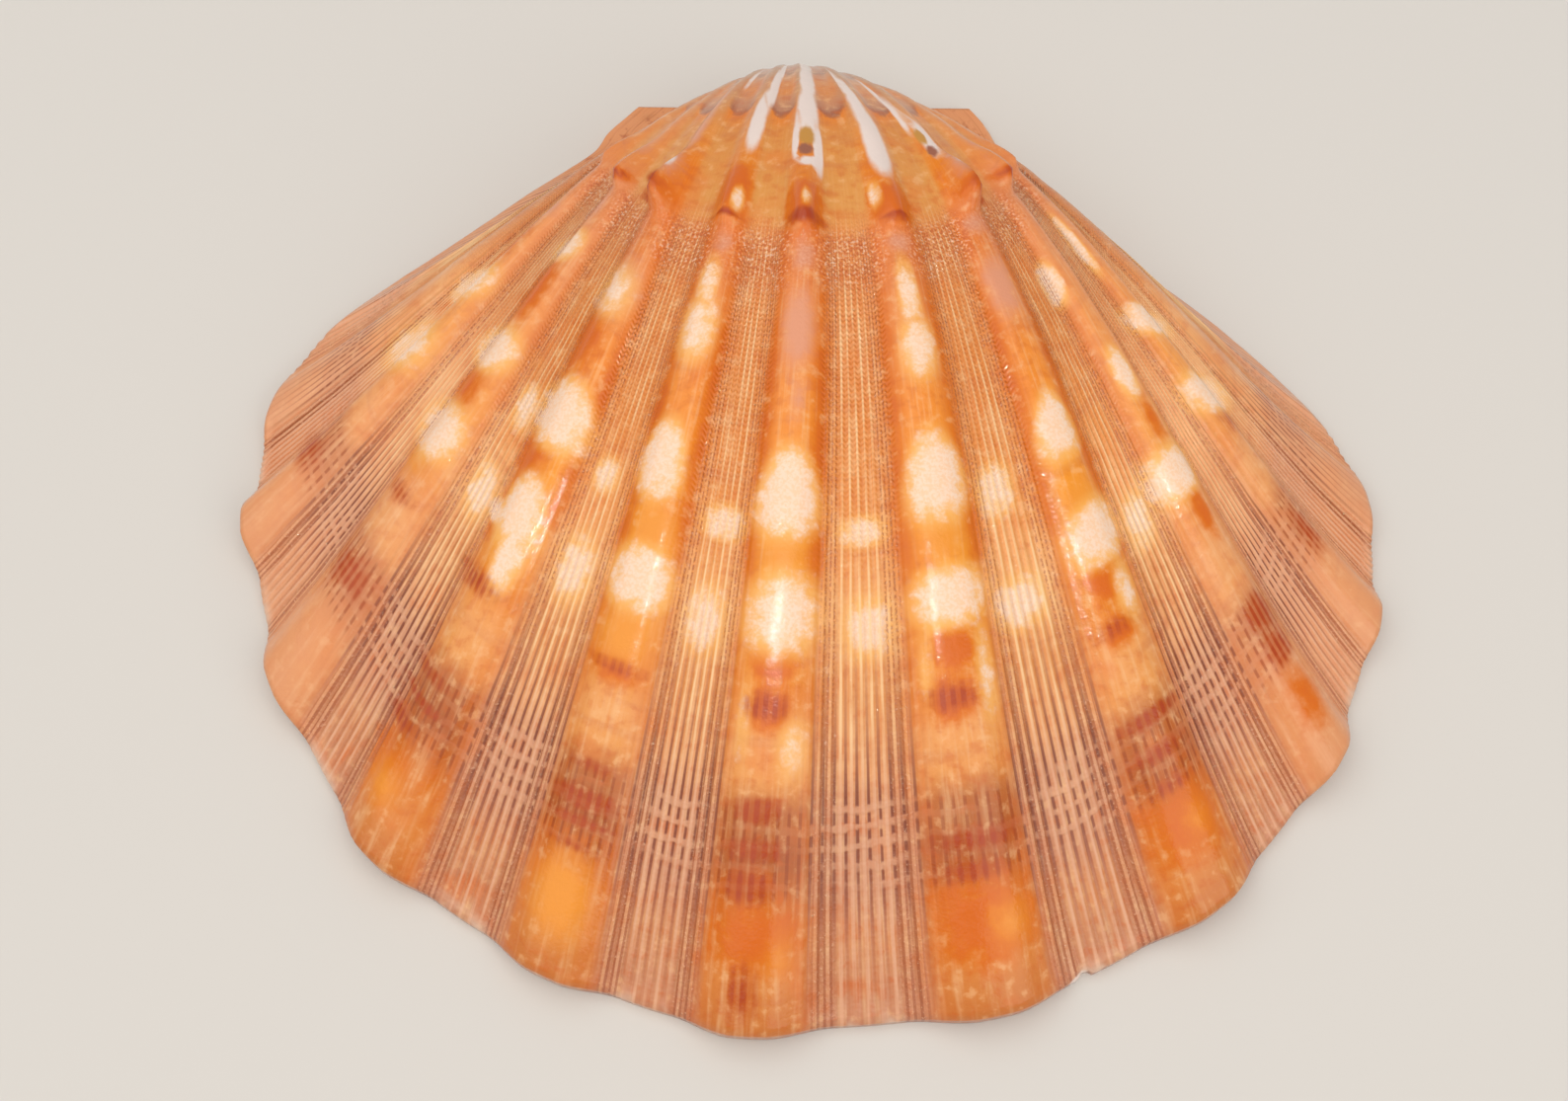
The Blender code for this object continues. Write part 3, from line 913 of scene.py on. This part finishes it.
# Washes: a pattern, its start and end, the least and most of it, its tint and the field it keeps to
WASHES = {
    "pale streaks": ("streaks", (0.45, 0.75, 0.0, 1.0), "#f9d6ae", "streaked"),
    "rusty mottle": ("mottle", (0.50, 0.80, 0.0, 0.45), "#e8854a", None),
    "dusky bands": ("bands", (0.52, 0.72, 0.0, 0.30), "#cf7f58", None),
    "burnt sides": ("mottle", (0.30, 0.60, 0.55, 1.0), "#dc741e", "rib_side"),
    "dark grain": ("fine", (0.50, 0.70, 0.0, 0.34), "#d4703a", None),
    "pale grain": ("fine", (0.46, 0.28, 0.0, 0.36), "#fad0a4", None),
    "golden halo": ("cream", (0.16, 0.55, 0.0, 0.85), "#fac27a", None),
    "pale specks": ("grain", (0.60, 0.72, 0.0, 0.40), "#f8d0b2", "rib_foot"),
    # Painted shade: the darker half of each scale row, darkened as the scales' relief would be in shade
    "painted scale shade": ("scales", (0.0, -0.9, 0.0, 0.17), "#c26a3c", None),
    "red flecks": ("grain", (0.50, 0.42, 0.0, 0.50), "#c2603e", "scaly"),
    "pale flecks": ("grain", (0.57, 0.66, 0.0, 0.50), "#fbdfce", "scaly"),
    "ear bands": ("bands", (0.45, 0.70, 0.0, 0.60), "#c9825c", None),
    "ear freckles": ("fine", (0.55, 0.70, 0.0, 0.50), "#b8684a", None),
    "pale lip": ("mottle", (0.45, 0.60, 0.0, 0.70), "#ecd4c2", "lip"),
    "peach blush": ("cloud", (0.45, 0.70, 0.0, 0.35), "#e8c3a6", None),
    "brown flutes": ("size", (0.55, 0.92, 0.0, 0.50), "#c4845c", "on_rib"),
}
# Colours laid in their own ways, and how strongly the dashes and the threads show
PALE_FLANK = "#edb490"
YOUNG_RIBLET = "#fad6aa"
GROWN_RIBLET = "#e9b79a"
DASH_BROWN = "#9c400e"
LINE_CREAM = "#e4b296"
THREAD_BROWN = "#aa6244"
PIT_BROWN = "#a8705c"
EAR_PEACH = "#e6a67c"
SCAR_TAN = "#d9bfab"
DASH_STRENGTH = 0.55
THREAD_STRENGTH = 0.62

# How soft and how ragged the edge of each kind of mark is
MARK_EDGES = {
    "orange": (0.22, 1.0),
    "gold": (0.30, 1.0),
    "rose": (0.24, 1.0),
    "cream": (0.18, 1.9),
    "brown": (0.24, 1.0),
    "white": (0.12, 0.45),
    "ochre": (0.14, 0.5),
    "pit": (0.14, 0.5),
}


def riblet_wave(tree, at, waves):
    """A cosine across the ribs, with so many waves to a riblet."""
    turn = 2.0 * math.pi * RIBLETS_A_RIB * waves
    phase = put(tree, "ShaderNodeMath", (at["place"], turn), operation="MULTIPLY")
    return put(tree, "ShaderNodeMath", (phase,), operation="COSINE")


def shared_patterns(tree, at):
    """Adds the noises and the riblet wave, which several layers use, to the values at each point."""
    body = put(tree, "ShaderNodeTexCoord").outputs["Object"]
    across = put(tree, "ShaderNodeMath", (at["place"], RIB_SPACING), operation="MULTIPLY")
    along = put(tree, "ShaderNodeMath", (at["size"], SHELL_HEIGHT), operation="MULTIPLY")
    slow = put(tree, "ShaderNodeMath", (along, STREAK_STRETCH), operation="MULTIPLY")
    narrow = put(tree, "ShaderNodeMath", (across, BAND_STRETCH), operation="MULTIPLY")
    noises = {label: (body,) + noise for label, noise in BODY_NOISES.items()}
    noises["streaks"] = (put(tree, "ShaderNodeCombineXYZ", (across, slow)),) + STREAKS
    noises["bands"] = (put(tree, "ShaderNodeCombineXYZ", (narrow, along)),) + BANDS
    for label, (spread, scale, detail) in noises.items():
        noise = {"Vector": spread, "Scale": scale, "Detail": detail}
        at[label] = put(tree, "ShaderNodeTexNoise", noise)
    at["ragged"] = put(tree, "ShaderNodeMath", (at["fine"], 0.36, -0.18), operation="MULTIPLY_ADD")
    at["wave"] = riblet_wave(tree, at, 1)


def wash(tree, at, colour, name):
    """Lays one wash: its tint where its pattern runs softly from start to end and its field allows."""
    pattern, limits, tint, field = WASHES[name]
    limits = (at[pattern],) + limits
    amount = put(tree, "ShaderNodeMapRange", limits, interpolation_type="SMOOTHSTEP")
    if field:
        amount = put(tree, "ShaderNodeMath", (amount, at[field]), operation="MULTIPLY")
    return put(tree, "ShaderNodeMix", (amount, colour, linear(tint)), data_type="RGBA")


def ground_colour(tree, at):
    """Tan between the ribs and orange on them, streaked, clouded and mottled."""
    warped = put(tree, "ShaderNodeMath", (at["ragged"], 0.05, at["growth"]), operation="MULTIPLY_ADD")
    between = put(tree, "ShaderNodeValToRGB", (warped,), BETWEEN_STOPS)
    crest = put(tree, "ShaderNodeValToRGB", (warped,), CREST_STOPS)
    colour = put(tree, "ShaderNodeMix", (at["on_rib"], between, crest), data_type="RGBA")
    for name in ("pale streaks", "rusty mottle", "dusky bands"):
        colour = wash(tree, at, colour, name)
    return colour


def rib_sides(tree, at, colour):
    """Burnt orange down the sides of the ribs, and the fine unevenness left by growth and polish."""
    for name in ("burnt sides", "dark grain", "pale grain"):
        colour = wash(tree, at, colour, name)
    return put(tree, "ShaderNodeMix", (at["outer"], colour, linear(PALE_FLANK)), data_type="RGBA")


def mark_amount(tree, at, label):
    """How far a mark covers a point: its field cut at the outline, softly and with a ragged edge."""
    softness, raggedness = MARK_EDGES[label]
    field = put(tree, "ShaderNodeMath", (at["ragged"], raggedness, at[label]), operation="MULTIPLY_ADD")
    limits = (field, 0.5 - softness, 0.5 + softness)
    return put(tree, "ShaderNodeMapRange", limits, interpolation_type="SMOOTHSTEP")


def laid_marks(tree, at, colour, colours, labels):
    """Lays these kinds of marks, one over another."""
    for label in labels:
        tinted = (mark_amount(tree, at, label), colour, getattr(colours, label))
        colour = put(tree, "ShaderNodeMix", tinted, data_type="RGBA")
    return colour


def soft_marks(tree, at, colour, colours):
    """Orange, gold, rose and cream patches, which lie under the riblets; the small cream spot on the middle
    knob is a painted highlight.
    """
    colour = laid_marks(tree, at, colour, colours, ("orange", "gold", "rose"))
    colour = wash(tree, at, colour, "golden halo")
    cream = mark_amount(tree, at, "cream")
    dusted = (at["grain"], 0.38, 0.60, 0.72, 1.0)
    dusted = put(tree, "ShaderNodeMapRange", dusted, interpolation_type="SMOOTHSTEP")
    cream = put(tree, "ShaderNodeMath", (cream, dusted), operation="MULTIPLY")
    return put(tree, "ShaderNodeMix", (cream, colour, colours.cream), data_type="RGBA")


def growth_lines(tree, at):
    """Rows across the dark band, sagging between the ribs: 1 on a line and 0 away from it."""
    drift = put(tree, "ShaderNodeMath", (at["cloud"], 0.030, at["growth"]), operation="MULTIPLY_ADD")
    crimp = put(tree, "ShaderNodeMath", (at["ragged"], 0.028, drift), operation="MULTIPLY_ADD")
    rows = put(tree, "ShaderNodeMath", (crimp, LINE_STEP), operation="DIVIDE")
    phase = put(tree, "ShaderNodeMath", (rows,), operation="FRACT")
    from_line = put(tree, "ShaderNodeMath", (phase, 0.5), operation="SUBTRACT")
    from_line = put(tree, "ShaderNodeMath", (from_line,), operation="ABSOLUTE")
    line = put(tree, "ShaderNodeMapRange", (from_line, 0.27, 0.10), interpolation_type="SMOOTHSTEP")
    broken = put(tree, "ShaderNodeMapRange", (at["mottle"], 0.34, 0.56), interpolation_type="SMOOTHSTEP")
    for share in (at["in_band"], broken):
        line = put(tree, "ShaderNodeMath", (line, share), operation="MULTIPLY")
    at["line"] = line
    at["off_line"] = put(tree, "ShaderNodeMath", (line, -0.8, 1.0), operation="MULTIPLY_ADD")


def riblet_colours(tree, at, colour):
    """Pale riblet crests, and grooves that turn to dark dashes in the growth band."""
    top = put(tree, "ShaderNodeMapRange", (at["wave"], 0.35, 0.95), interpolation_type="SMOOTHSTEP")
    worn = (at["streaks"], 0.32, 0.62, 0.15, 0.85)
    worn = put(tree, "ShaderNodeMapRange", worn, interpolation_type="SMOOTHSTEP")
    for share in (worn, at["pale_top"]):
        top = put(tree, "ShaderNodeMath", (top, share), operation="MULTIPLY")
    tint = put(tree, "ShaderNodeMapRange", (at["size"], 0.76, 0.83), interpolation_type="SMOOTHSTEP")
    pale = (tint, linear(YOUNG_RIBLET), linear(GROWN_RIBLET))
    pale = put(tree, "ShaderNodeMix", pale, data_type="RGBA")
    colour = put(tree, "ShaderNodeMix", (top, colour, pale), data_type="RGBA")

    uneven = put(tree, "ShaderNodeMath", (at["streaks"], 0.9, -0.45), operation="MULTIPLY_ADD")
    field = put(tree, "ShaderNodeMath", (at["wave"], uneven), operation="ADD")
    groove = put(tree, "ShaderNodeMapRange", (field, -0.35, -0.95), interpolation_type="SMOOTHSTEP")
    for share in (at["groove"], at["off_line"]):
        groove = put(tree, "ShaderNodeMath", (groove, share), operation="MULTIPLY")
    shade = put(tree, "ShaderNodeValToRGB", (at["size"],), GROOVE_STOPS)
    return put(tree, "ShaderNodeMix", (groove, colour, shade), data_type="RGBA")


def crest_dashes(tree, at, colour, colours):
    """Brown dashes across the crests, broken by the growth lines, and the solid brown of the knob fronts,
    partly their own colour and partly painted shade.
    """
    dash = put(tree, "ShaderNodeMapRange", (at["wave"], -0.3, -0.9), interpolation_type="SMOOTHSTEP")
    for share in (at["on_rib"], at["in_band"], at["off_line"], DASH_STRENGTH):
        dash = put(tree, "ShaderNodeMath", (dash, share), operation="MULTIPLY")
    colour = put(tree, "ShaderNodeMix", (dash, colour, linear(DASH_BROWN)), data_type="RGBA")

    # On the knob fronts this brown is partly painted shade
    brown = mark_amount(tree, at, "brown")
    gaps = (at["wave"], 0.6, -0.5, 0.50, 0.95)
    gaps = put(tree, "ShaderNodeMapRange", gaps, interpolation_type="SMOOTHSTEP")
    solid = put(tree, "ShaderNodeMapRange", (at["size"], 0.60, 0.50), interpolation_type="SMOOTHSTEP")
    gaps = put(tree, "ShaderNodeMath", (gaps, solid), operation="MAXIMUM")
    brown = put(tree, "ShaderNodeMath", (brown, gaps), operation="MULTIPLY")
    colour = put(tree, "ShaderNodeMix", (brown, colour, colours.brown), data_type="RGBA")
    pale = put(tree, "ShaderNodeMath", (at["line"], at["line_share"]), operation="MULTIPLY")
    return put(tree, "ShaderNodeMix", (pale, colour, linear(LINE_CREAM)), data_type="RGBA")


def foot_threads(tree, at, colour):
    """Granular threads along each rib's foot, two to a riblet, and pale specks between them."""
    wave = riblet_wave(tree, at, 2)
    thread = put(tree, "ShaderNodeMapRange", (wave, 0.2, -0.6), interpolation_type="SMOOTHSTEP")
    grains = put(tree, "ShaderNodeMapRange", (at["grain"], 0.35, 0.6), interpolation_type="SMOOTHSTEP")
    joined = put(tree, "ShaderNodeMapRange", (at["size"], 0.66, 0.82), interpolation_type="SMOOTHSTEP")
    grains = put(tree, "ShaderNodeMath", (grains, joined), operation="MAXIMUM")
    for share in (grains, at["rib_foot"], THREAD_STRENGTH):
        thread = put(tree, "ShaderNodeMath", (thread, share), operation="MULTIPLY")
    colour = put(tree, "ShaderNodeMix", (thread, colour, linear(THREAD_BROWN)), data_type="RGBA")
    return wash(tree, at, colour, "pale specks")


def scale_rows(tree, at, colour):
    """Zigzag rows of fine scales across the riblets of the younger disc, 0.6 mm apart, with painted shade
    on the darker half of each row.
    """
    rows = put(tree, "ShaderNodeMath", (at["size"], 2.0 * math.pi / SCALE_STEP), operation="MULTIPLY")
    zigzag = put(tree, "ShaderNodeMath", (at["wave"], 1.3, rows), operation="MULTIPLY_ADD")
    loose = put(tree, "ShaderNodeMath", (at["ragged"], 9.0, zigzag), operation="MULTIPLY_ADD")
    scales = put(tree, "ShaderNodeMath", (loose,), operation="SINE")
    at["scales"] = put(tree, "ShaderNodeMath", (scales, at["scaled"]), operation="MULTIPLY")
    # Painted shade on the darker half of each scale row, over the bump of the same scales
    return wash(tree, at, colour, "painted scale shade")


def worn_marks(tree, at, colour, colours):
    """White worn streaks near the beak, the tan hollows in them and their dark pits."""
    colour = laid_marks(tree, at, colour, colours, ("white", "ochre"))
    pit = mark_amount(tree, at, "pit")
    return put(tree, "ShaderNodeMix", (pit, colour, linear(PIT_BROWN)), data_type="RGBA")


def scaly_ring(tree, at, colour):
    """Red and pale flecks on the ring of scales just below the knobs."""
    colour = wash(tree, at, colour, "red flecks")
    return wash(tree, at, colour, "pale flecks")


def ears_and_lip(tree, at, colour):
    """Mottled peach ears and the thin pale lip of the rim."""
    ear = wash(tree, at, linear(EAR_PEACH), "ear bands")
    ear = wash(tree, at, ear, "ear freckles")
    colour = put(tree, "ShaderNodeMix", (at["on_ear"], colour, ear), data_type="RGBA")
    return wash(tree, at, colour, "pale lip")


def inside_colour(tree, at, colour):
    """Porcelain inside, blushed with peach and brown towards the rim."""
    warped = put(tree, "ShaderNodeMath", (at["ragged"], 0.10, at["size"]), operation="MULTIPLY_ADD")
    inner = put(tree, "ShaderNodeValToRGB", (warped,), INSIDE_STOPS)
    inner = wash(tree, at, inner, "peach blush")
    inner = put(tree, "ShaderNodeMix", (at["scar"], inner, linear(SCAR_TAN)), data_type="RGBA")
    inner = wash(tree, at, inner, "brown flutes")
    within = put(tree, "ShaderNodeMath", (at["side"], INSIDE - 0.5), operation="GREATER_THAN")
    return put(tree, "ShaderNodeMix", (within, colour, inner), data_type="RGBA")


def fine_relief(tree, at):
    """Relief too fine for the net, in metres: scales, growth lines and the grain of the threads."""
    grain = (at["rib_foot"], THREAD_HEIGHT, GRAIN_HEIGHT)
    grain = put(tree, "ShaderNodeMath", grain, operation="MULTIPLY_ADD")
    line = put(tree, "ShaderNodeMath", (at["line"], at["line_share"]), operation="MULTIPLY")
    height = put(tree, "ShaderNodeMath", (at["scales"], SCALE_HEIGHT), operation="MULTIPLY")
    for pattern, size in ((at["grain"], grain), (line, LINE_HEIGHT), (at["fine"], FINE_HEIGHT)):
        height = put(tree, "ShaderNodeMath", (pattern, size, height), operation="MULTIPLY_ADD")
    return put(tree, "ShaderNodeBump", {"Height": height, "Distance": 1.0, "Strength": 1.0})


def polished_surface(tree, at, colour, relief):
    """The shader: soft gloss under a thin clear polish."""
    deep = put(tree, "ShaderNodeGamma", (colour, PIGMENT_DEPTH))
    tone = {"Color": deep, "Hue": PIGMENT_HUE, "Saturation": PIGMENT_STRENGTH}
    gloss = (at["mottle"], GLOSS_CHANGE, GLOSS)
    surface = {
        "Base Color": put(tree, "ShaderNodeHueSaturation", tone),
        "Roughness": put(tree, "ShaderNodeMath", gloss, operation="MULTIPLY_ADD"),
        "IOR": CALCITE_IOR,
        "Specular IOR Level": WORN_REFLECTION,
        "Normal": relief,
        "Coat Weight": POLISH,
        "Coat Roughness": POLISH_ROUGHNESS,
        "Coat Normal": relief,
    }
    return put(tree, "ShaderNodeBsdfPrincipled", surface)


def shell_material(colours):
    """Calcite shell, washed and polished: opaque, warm, with a soft gloss that breaks on the riblets."""
    material = bpy.data.materials.new("polished_calcite_shell")
    material.use_nodes = True
    tree = material.node_tree
    tree.nodes.clear()
    at = {}
    for label in MATERIAL_FIELDS:
        at[label] = put(tree, "ShaderNodeAttribute", attribute_name=label).outputs["Fac"]
    shared_patterns(tree, at)
    growth_lines(tree, at)
    colour = ground_colour(tree, at)
    colour = rib_sides(tree, at, colour)
    colour = soft_marks(tree, at, colour, colours)
    colour = riblet_colours(tree, at, colour)
    colour = foot_threads(tree, at, colour)
    colour = scale_rows(tree, at, colour)
    colour = crest_dashes(tree, at, colour, colours)
    colour = worn_marks(tree, at, colour, colours)
    colour = scaly_ring(tree, at, colour)
    colour = ears_and_lip(tree, at, colour)
    colour = inside_colour(tree, at, colour)
    surface = polished_surface(tree, at, colour, fine_relief(tree, at))
    put(tree, "ShaderNodeOutputMaterial", (surface,))
    return material


def plain_mesh(source, name):
    """The evaluated object as a plain mesh object at the origin, and the source removed."""
    bpy.context.view_layer.update()
    evaluated = source.evaluated_get(bpy.context.evaluated_depsgraph_get())
    mesh = bpy.data.meshes.new_from_object(evaluated)
    mesh.name = name
    piece = bpy.data.objects.new(name, mesh)
    bpy.context.scene.collection.objects.link(piece)
    bpy.data.objects.remove(source, do_unlink=True)
    return piece


def drop_chart_attributes(mesh):
    """Leaves only the attributes that the material reads."""
    for label in CHART_ONLY_FIELDS:
        mesh.attributes.remove(mesh.attributes[label])


def beak_place():
    """Where the beak stands, from the solid's box."""
    low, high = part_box("valve")
    return Vector(((low.x + high.x) / 2 + BEAK_FROM_BOX[0], high.y + BEAK_FROM_BOX[1], low.z))


def length(name, description, default):
    """A size in metres that a user can change."""
    return bpy.props.FloatProperty(
        name=name, description=description, default=default, unit="LENGTH", subtype="DISTANCE"
    )


def paint(name, description, code):
    """A colour that a user can change."""
    return bpy.props.FloatVectorProperty(
        name=name, description=description, default=linear(code), size=4, subtype="COLOR"
    )


class ShellSizes(bpy.types.PropertyGroup):
    coil: bpy.props.FloatProperty(name="Coil", description="Growth for each radian turned", default=1.634)
    rib_rise: length("Rib rise", "Height of the ribs at the rim", 0.0032)
    riblet_rise: length("Riblet rise", "Half height of the riblets at the rim", 0.00028)
    knob_rise: length("Knob rise", "Height of the tallest knobs", 0.0024)
    unevenness: length("Unevenness", "Depth of the hollows left by growth and polishing", 0.00035)
    rim_edge: length("Rim edge", "Thickness of the edge at the rim", 0.0016)


class ShellColours(bpy.types.PropertyGroup):
    cream: paint("Cream", "Blotches on the rib crests", "#fbe0cc")
    white: paint("White", "Worn streaks near the beak", "#f0e2dc")
    orange: paint("Orange", "Rib sides and spots", "#df7418")
    brown: paint("Brown", "Growth bands and dashes", "#b8470c")
    rose: paint("Rose", "Pinkish patches on the young ribs", "#e5a68a")
    ochre: paint("Ochre", "Tan hollows in the worn streaks", "#cf9d58")
    gold: paint("Gold", "Bright patches between the cream blotches", "#f2a555")


class StageSettings(bpy.types.PropertyGroup):
    floor: paint("Floor", "Pale matt paper", "#d8d6d2")
    softbox: bpy.props.FloatProperty(
        name="Softbox", description="Power of the large soft light", default=7.3, unit="POWER"
    )


class SHELL_OT_grow_valve(bpy.types.Operator):
    """Grow the valve from its rim and beak"""

    bl_idname = "shell.grow_valve"
    bl_label = "Grow the valve"
    bl_options = {"REGISTER", "UNDO"}

    def execute(self, context):
        sizes = context.scene.shell_sizes
        chart = bpy.data.objects.new("valve_chart", chart_mesh("valve_chart"))
        context.scene.collection.objects.link(chart)
        tree = growth_tree()
        growth = chart.modifiers.new("growth", "NODES")
        growth.node_group = tree
        values = {
            "Coil": sizes.coil,
            "Rib Rise": sizes.rib_rise,
            "Riblet Rise": sizes.riblet_rise,
            "Knob Rise": sizes.knob_rise,
            "Unevenness": sizes.unevenness,
            "Rim Edge": sizes.rim_edge,
            "Beak": beak_place(),
            "Seed": HOLLOW_SEED,
            "Shell": shell_material(context.scene.shell_colours),
        }
        for item in tree.interface.items_tree:
            if item.in_out == "INPUT" and item.name in values:
                growth[item.identifier] = values[item.name]
        piece = plain_mesh(chart, "scallop_valve")
        drop_chart_attributes(piece.data)
        if len(piece.data.polygons) < FEWEST_TRIANGLES:
            raise RuntimeError("the valve's net came out too coarse")
        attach(piece, "root")
        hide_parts("valve")
        return {"FINISHED"}


def look_at(place, target):
    """The turn and place of something at one point that faces another."""
    turn = (target - place).to_track_quat("-Z", "Y")
    return Matrix.Translation(place) @ turn.to_matrix().to_4x4()


def lay_floor(scene, colour):
    """A square of matt paper."""
    half = FLOOR_HALF
    mesh = bpy.data.meshes.new("floor")
    corners = [(-half, -half, 0), (half, -half, 0), (half, half, 0), (-half, half, 0)]
    mesh.from_pydata(corners, [], [(0, 1, 2, 3)])
    floor = bpy.data.objects.new("floor", mesh)
    scene.collection.objects.link(floor)
    paper = bpy.data.materials.new("matt_paper")
    paper.use_nodes = True
    shader = paper.node_tree.nodes["Principled BSDF"]
    shader.inputs["Base Color"].default_value = colour
    shader.inputs["Roughness"].default_value = PAPER_ROUGHNESS
    mesh.materials.append(paper)
    return floor


def light_room(scene):
    """Even light from a pale room."""
    world = bpy.data.worlds.new("soft_room")
    world.use_nodes = True
    background = world.node_tree.nodes["Background"]
    background.inputs["Color"].default_value = linear(ROOM_COLOUR)
    background.inputs["Strength"].default_value = ROOM_LIGHT
    scene.world = world


def hang_lamps(scene, middle, power):
    """The round lamps, all facing the middle of the shell."""
    for name, (away, width, share) in LAMPS.items():
        light = bpy.data.lights.new(name, "AREA")
        light.shape = "DISK"
        light.size = width
        light.energy = power * share
        light.color = linear(LAMP_COLOUR)[:3]
        lamp = bpy.data.objects.new(name, light)
        lamp.matrix_world = look_at(middle + Vector(away), middle)
        scene.collection.objects.link(lamp)


def set_camera(scene, beak, middle):
    """The camera where the photograph was taken from."""
    camera_data = bpy.data.cameras.new("camera")
    camera_data.sensor_width = SENSOR_WIDTH
    camera_data.sensor_fit = "HORIZONTAL"
    camera_data.lens = LENS_PIXELS / IMAGE_WIDTH * SENSOR_WIDTH
    camera_data.clip_start = 0.01
    camera = bpy.data.objects.new("camera", camera_data)
    camera.matrix_world = look_at(beak + CAMERA_FROM_BEAK, middle)
    scene.collection.objects.link(camera)
    scene.camera = camera
    scene.view_settings.view_transform = "Standard"


class SHELL_OT_set_stage(bpy.types.Operator):
    """Lay the pale floor, hang the lights and set up the camera"""

    bl_idname = "shell.set_stage"
    bl_label = "Set the stage"
    bl_options = {"REGISTER", "UNDO"}

    def execute(self, context):
        scene = context.scene
        beak = beak_place()
        middle = beak + TARGET_FROM_BEAK
        lay_floor(scene, scene.shell_stage.floor)
        light_room(scene)
        hang_lamps(scene, middle, scene.shell_stage.softbox)
        set_camera(scene, beak, middle)
        return {"FINISHED"}


class SHELL_PT_panel(bpy.types.Panel):
    bl_label = "Scallop valve"
    bl_idname = "SHELL_PT_panel"
    bl_space_type = "VIEW_3D"
    bl_region_type = "UI"
    bl_category = "Shell"

    def draw(self, context):
        scene = context.scene
        for group in (scene.shell_sizes, scene.shell_colours, scene.shell_stage):
            box = self.layout.box()
            for name in group.__annotations__:
                box.prop(group, name)
        for operator in (SHELL_OT_grow_valve, SHELL_OT_set_stage):
            self.layout.operator(operator.bl_idname)


GROUPS = (ShellSizes, ShellColours, StageSettings)
CLASSES = GROUPS + (SHELL_OT_grow_valve, SHELL_OT_set_stage, SHELL_PT_panel)


def register():
    for entry in CLASSES:
        bpy.utils.register_class(entry)
    bpy.types.Scene.shell_sizes = bpy.props.PointerProperty(type=ShellSizes)
    bpy.types.Scene.shell_colours = bpy.props.PointerProperty(type=ShellColours)
    bpy.types.Scene.shell_stage = bpy.props.PointerProperty(type=StageSettings)


def unregister():
    del bpy.types.Scene.shell_sizes
    del bpy.types.Scene.shell_colours
    del bpy.types.Scene.shell_stage
    for entry in reversed(CLASSES):
        bpy.utils.unregister_class(entry)


def main():
    """Registers the classes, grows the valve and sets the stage."""
    register()
    bpy.ops.shell.grow_valve()
    bpy.ops.shell.set_stage()


if __name__ == "__main__":
    main()
